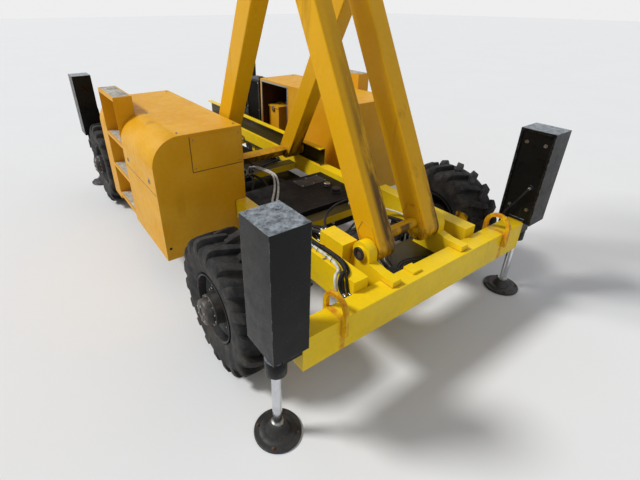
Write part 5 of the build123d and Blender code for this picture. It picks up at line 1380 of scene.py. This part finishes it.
LEVER_BOOT = ((-2, 26), (4, 24), (9, 16), (13, 18), (18, 12), (22, 13.5), (27, 7), (30, 0))
LEVER_GRIP = ((26, 5.5), (40, 5.5), (42, 12), (52, 13.5), (64, 11.5), (69, 6), (70, 0))
LEVER_GUARD = ((52, 0), (52, 46), (80, 56), (108, 46), (108, 0))
STOP_BUTTON = ((3, 10), (10, 10), (11, 18.5), (17, 18.5), (20, 14), (21, 0))


def controls():
    """The control box with its sloping face, guarded lever, stop button and switches."""
    b = Build()
    x0, x1 = RAIL_INNER - 150, RAIL_INNER
    middle = RAIL_NEAR + 1300
    y0, y1 = middle - 130, middle + 130
    z0, z1 = RAIL_TOP - 190, RAIL_TOP
    b.plate([(x0, z0), (x1, z0), (x1, z1), (x0 + 60, z1), (x0, z1 - 50)], y0, y1, 1, "plastic", 4)
    lever = (x0 + 78, middle, z1)
    b.turned(LEVER_BOOT, lever, UP, "hose", 32)
    b.turned(LEVER_GRIP, lever, UP, "hose", 28)
    for y in (middle - 40, middle + 40):
        b.pipe([(x0 + x, y, z1 + z) for x, z in LEVER_GUARD], 4, "zinc", 8, 5)
    tilt = Vector((-50, 0, 60)).normalized()
    slope = Vector((x0 + 30, middle, z1 - 25))
    stop = slope + Vector((0, -85, 0))
    b.cylinder(stop - 2 * tilt, stop + 3 * tilt, 24, "tread", count=32)
    b.turned(STOP_BUTTON, stop, tilt, "red", 32)
    for k in range(3):
        spot = slope + Vector((0, -20 + 45 * k, 0))
        b.cylinder(spot - tilt, spot + 3 * tilt, 10, "zinc", count=6)
        lean = (tilt + Vector((0.25, 0, 0.2)) * (k - 1)).normalized()
        b.cylinder(spot + 3 * tilt, spot + 3 * tilt + 18 * lean, 3.2, "zinc", count=12)
    for y in (y0 + 12, y1 - 12):
        for z in (z0 + 12, z1 - 70):
            b.screw((x0 + 1, y, z), LEFT, 7)
    piece = b.done("control_box", "platform")
    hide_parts("platform_controls")


# Room, light and camera

def stage():
    """A pale matt floor, a soft key lamp and a pale surround."""
    bpy.ops.mesh.primitive_plane_add(size=120.0, location=(0, 0, 0))
    floor = bpy.context.object
    floor.name = "floor"
    n = Nodes("floor_pale")
    shade = n.patches(0.7, 3.0, 0.6, 0.3, 0.7, 0.0, 0.35)
    tone = n.mix(shade, (0.72, 0.72, 0.71, 1), (0.76, 0.76, 0.75, 1))
    floor.data.materials.append(n.finish(tone, 0.85))

    key = bpy.data.lights.new("key", "SUN")
    key.energy = 2.7
    key.angle = math.radians(12)
    key_object = bpy.data.objects.new("key", key)
    toward = Vector((0.60, -0.42, -0.80))
    key_object.rotation_euler = toward.to_track_quat("-Z", "Y").to_euler()
    bpy.context.scene.collection.objects.link(key_object)

    world = bpy.data.worlds.new("studio")
    world.use_nodes = True
    tree = world.node_tree
    rays = add_node(tree, "LightPath").outputs
    seen = rays["Is Camera Ray"]
    for ray in ("Is Glossy Ray", "Is Transmission Ray"):
        seen = add_node(tree, "Math", {0: seen, 1: rays[ray]}, operation="MAXIMUM").outputs[0]
    fill = tree.nodes["Background"]
    feed(tree, (0.90, 0.93, 1.0, 1), fill.inputs["Color"])
    feed(tree, 0.48, fill.inputs["Strength"])
    pale = add_node(tree, "Background", {"Color": (0.86, 0.86, 0.86, 1), "Strength": 1.0})
    mix = add_node(tree, "MixShader", {0: seen, 1: fill.outputs[0], 2: pale.outputs[0]})
    feed(tree, mix.outputs[0], tree.nodes["World Output"].inputs["Surface"])
    bpy.context.scene.world = world


CAMERA_PLACE = (-1727, -3113, 1985)
CAMERA_YAW, CAMERA_PITCH, CAMERA_ROLL = 0.617, 0.487, 0.003
CAMERA_LENS = 22.4705
CAMERA_SHIFT = (0.0367, -0.0431)


def camera():
    """The photograph's viewpoint."""
    turn = (Matrix.Rotation(-CAMERA_YAW, 4, "Z") @ Matrix.Rotation(math.pi / 2 - CAMERA_PITCH, 4, "X")
            @ Matrix.Rotation(CAMERA_ROLL, 4, "Z"))
    data = bpy.data.cameras.new("camera")
    data.sensor_width = 36.0
    data.lens = CAMERA_LENS
    data.shift_x, data.shift_y = CAMERA_SHIFT
    data.clip_end = 300.0
    obj = bpy.data.objects.new("camera", data)
    obj.matrix_world = Matrix.Translation(MM * Vector(CAMERA_PLACE)) @ turn
    bpy.context.scene.collection.objects.link(obj)
    bpy.context.scene.camera = obj


finish_nodes()
wheels()
jack_feet()
arm_details()
cylinder_details()
frame_details()
hoses()
lifting_rings()
jack_details()
hood_details()
step_details()
engine()
cooler_details()
box_details()
tank_details()
axle_details()
knuckle_details()
platform_details()
controls()
stage()
camera()
bpy.context.scene.view_settings.view_transform = "Standard"
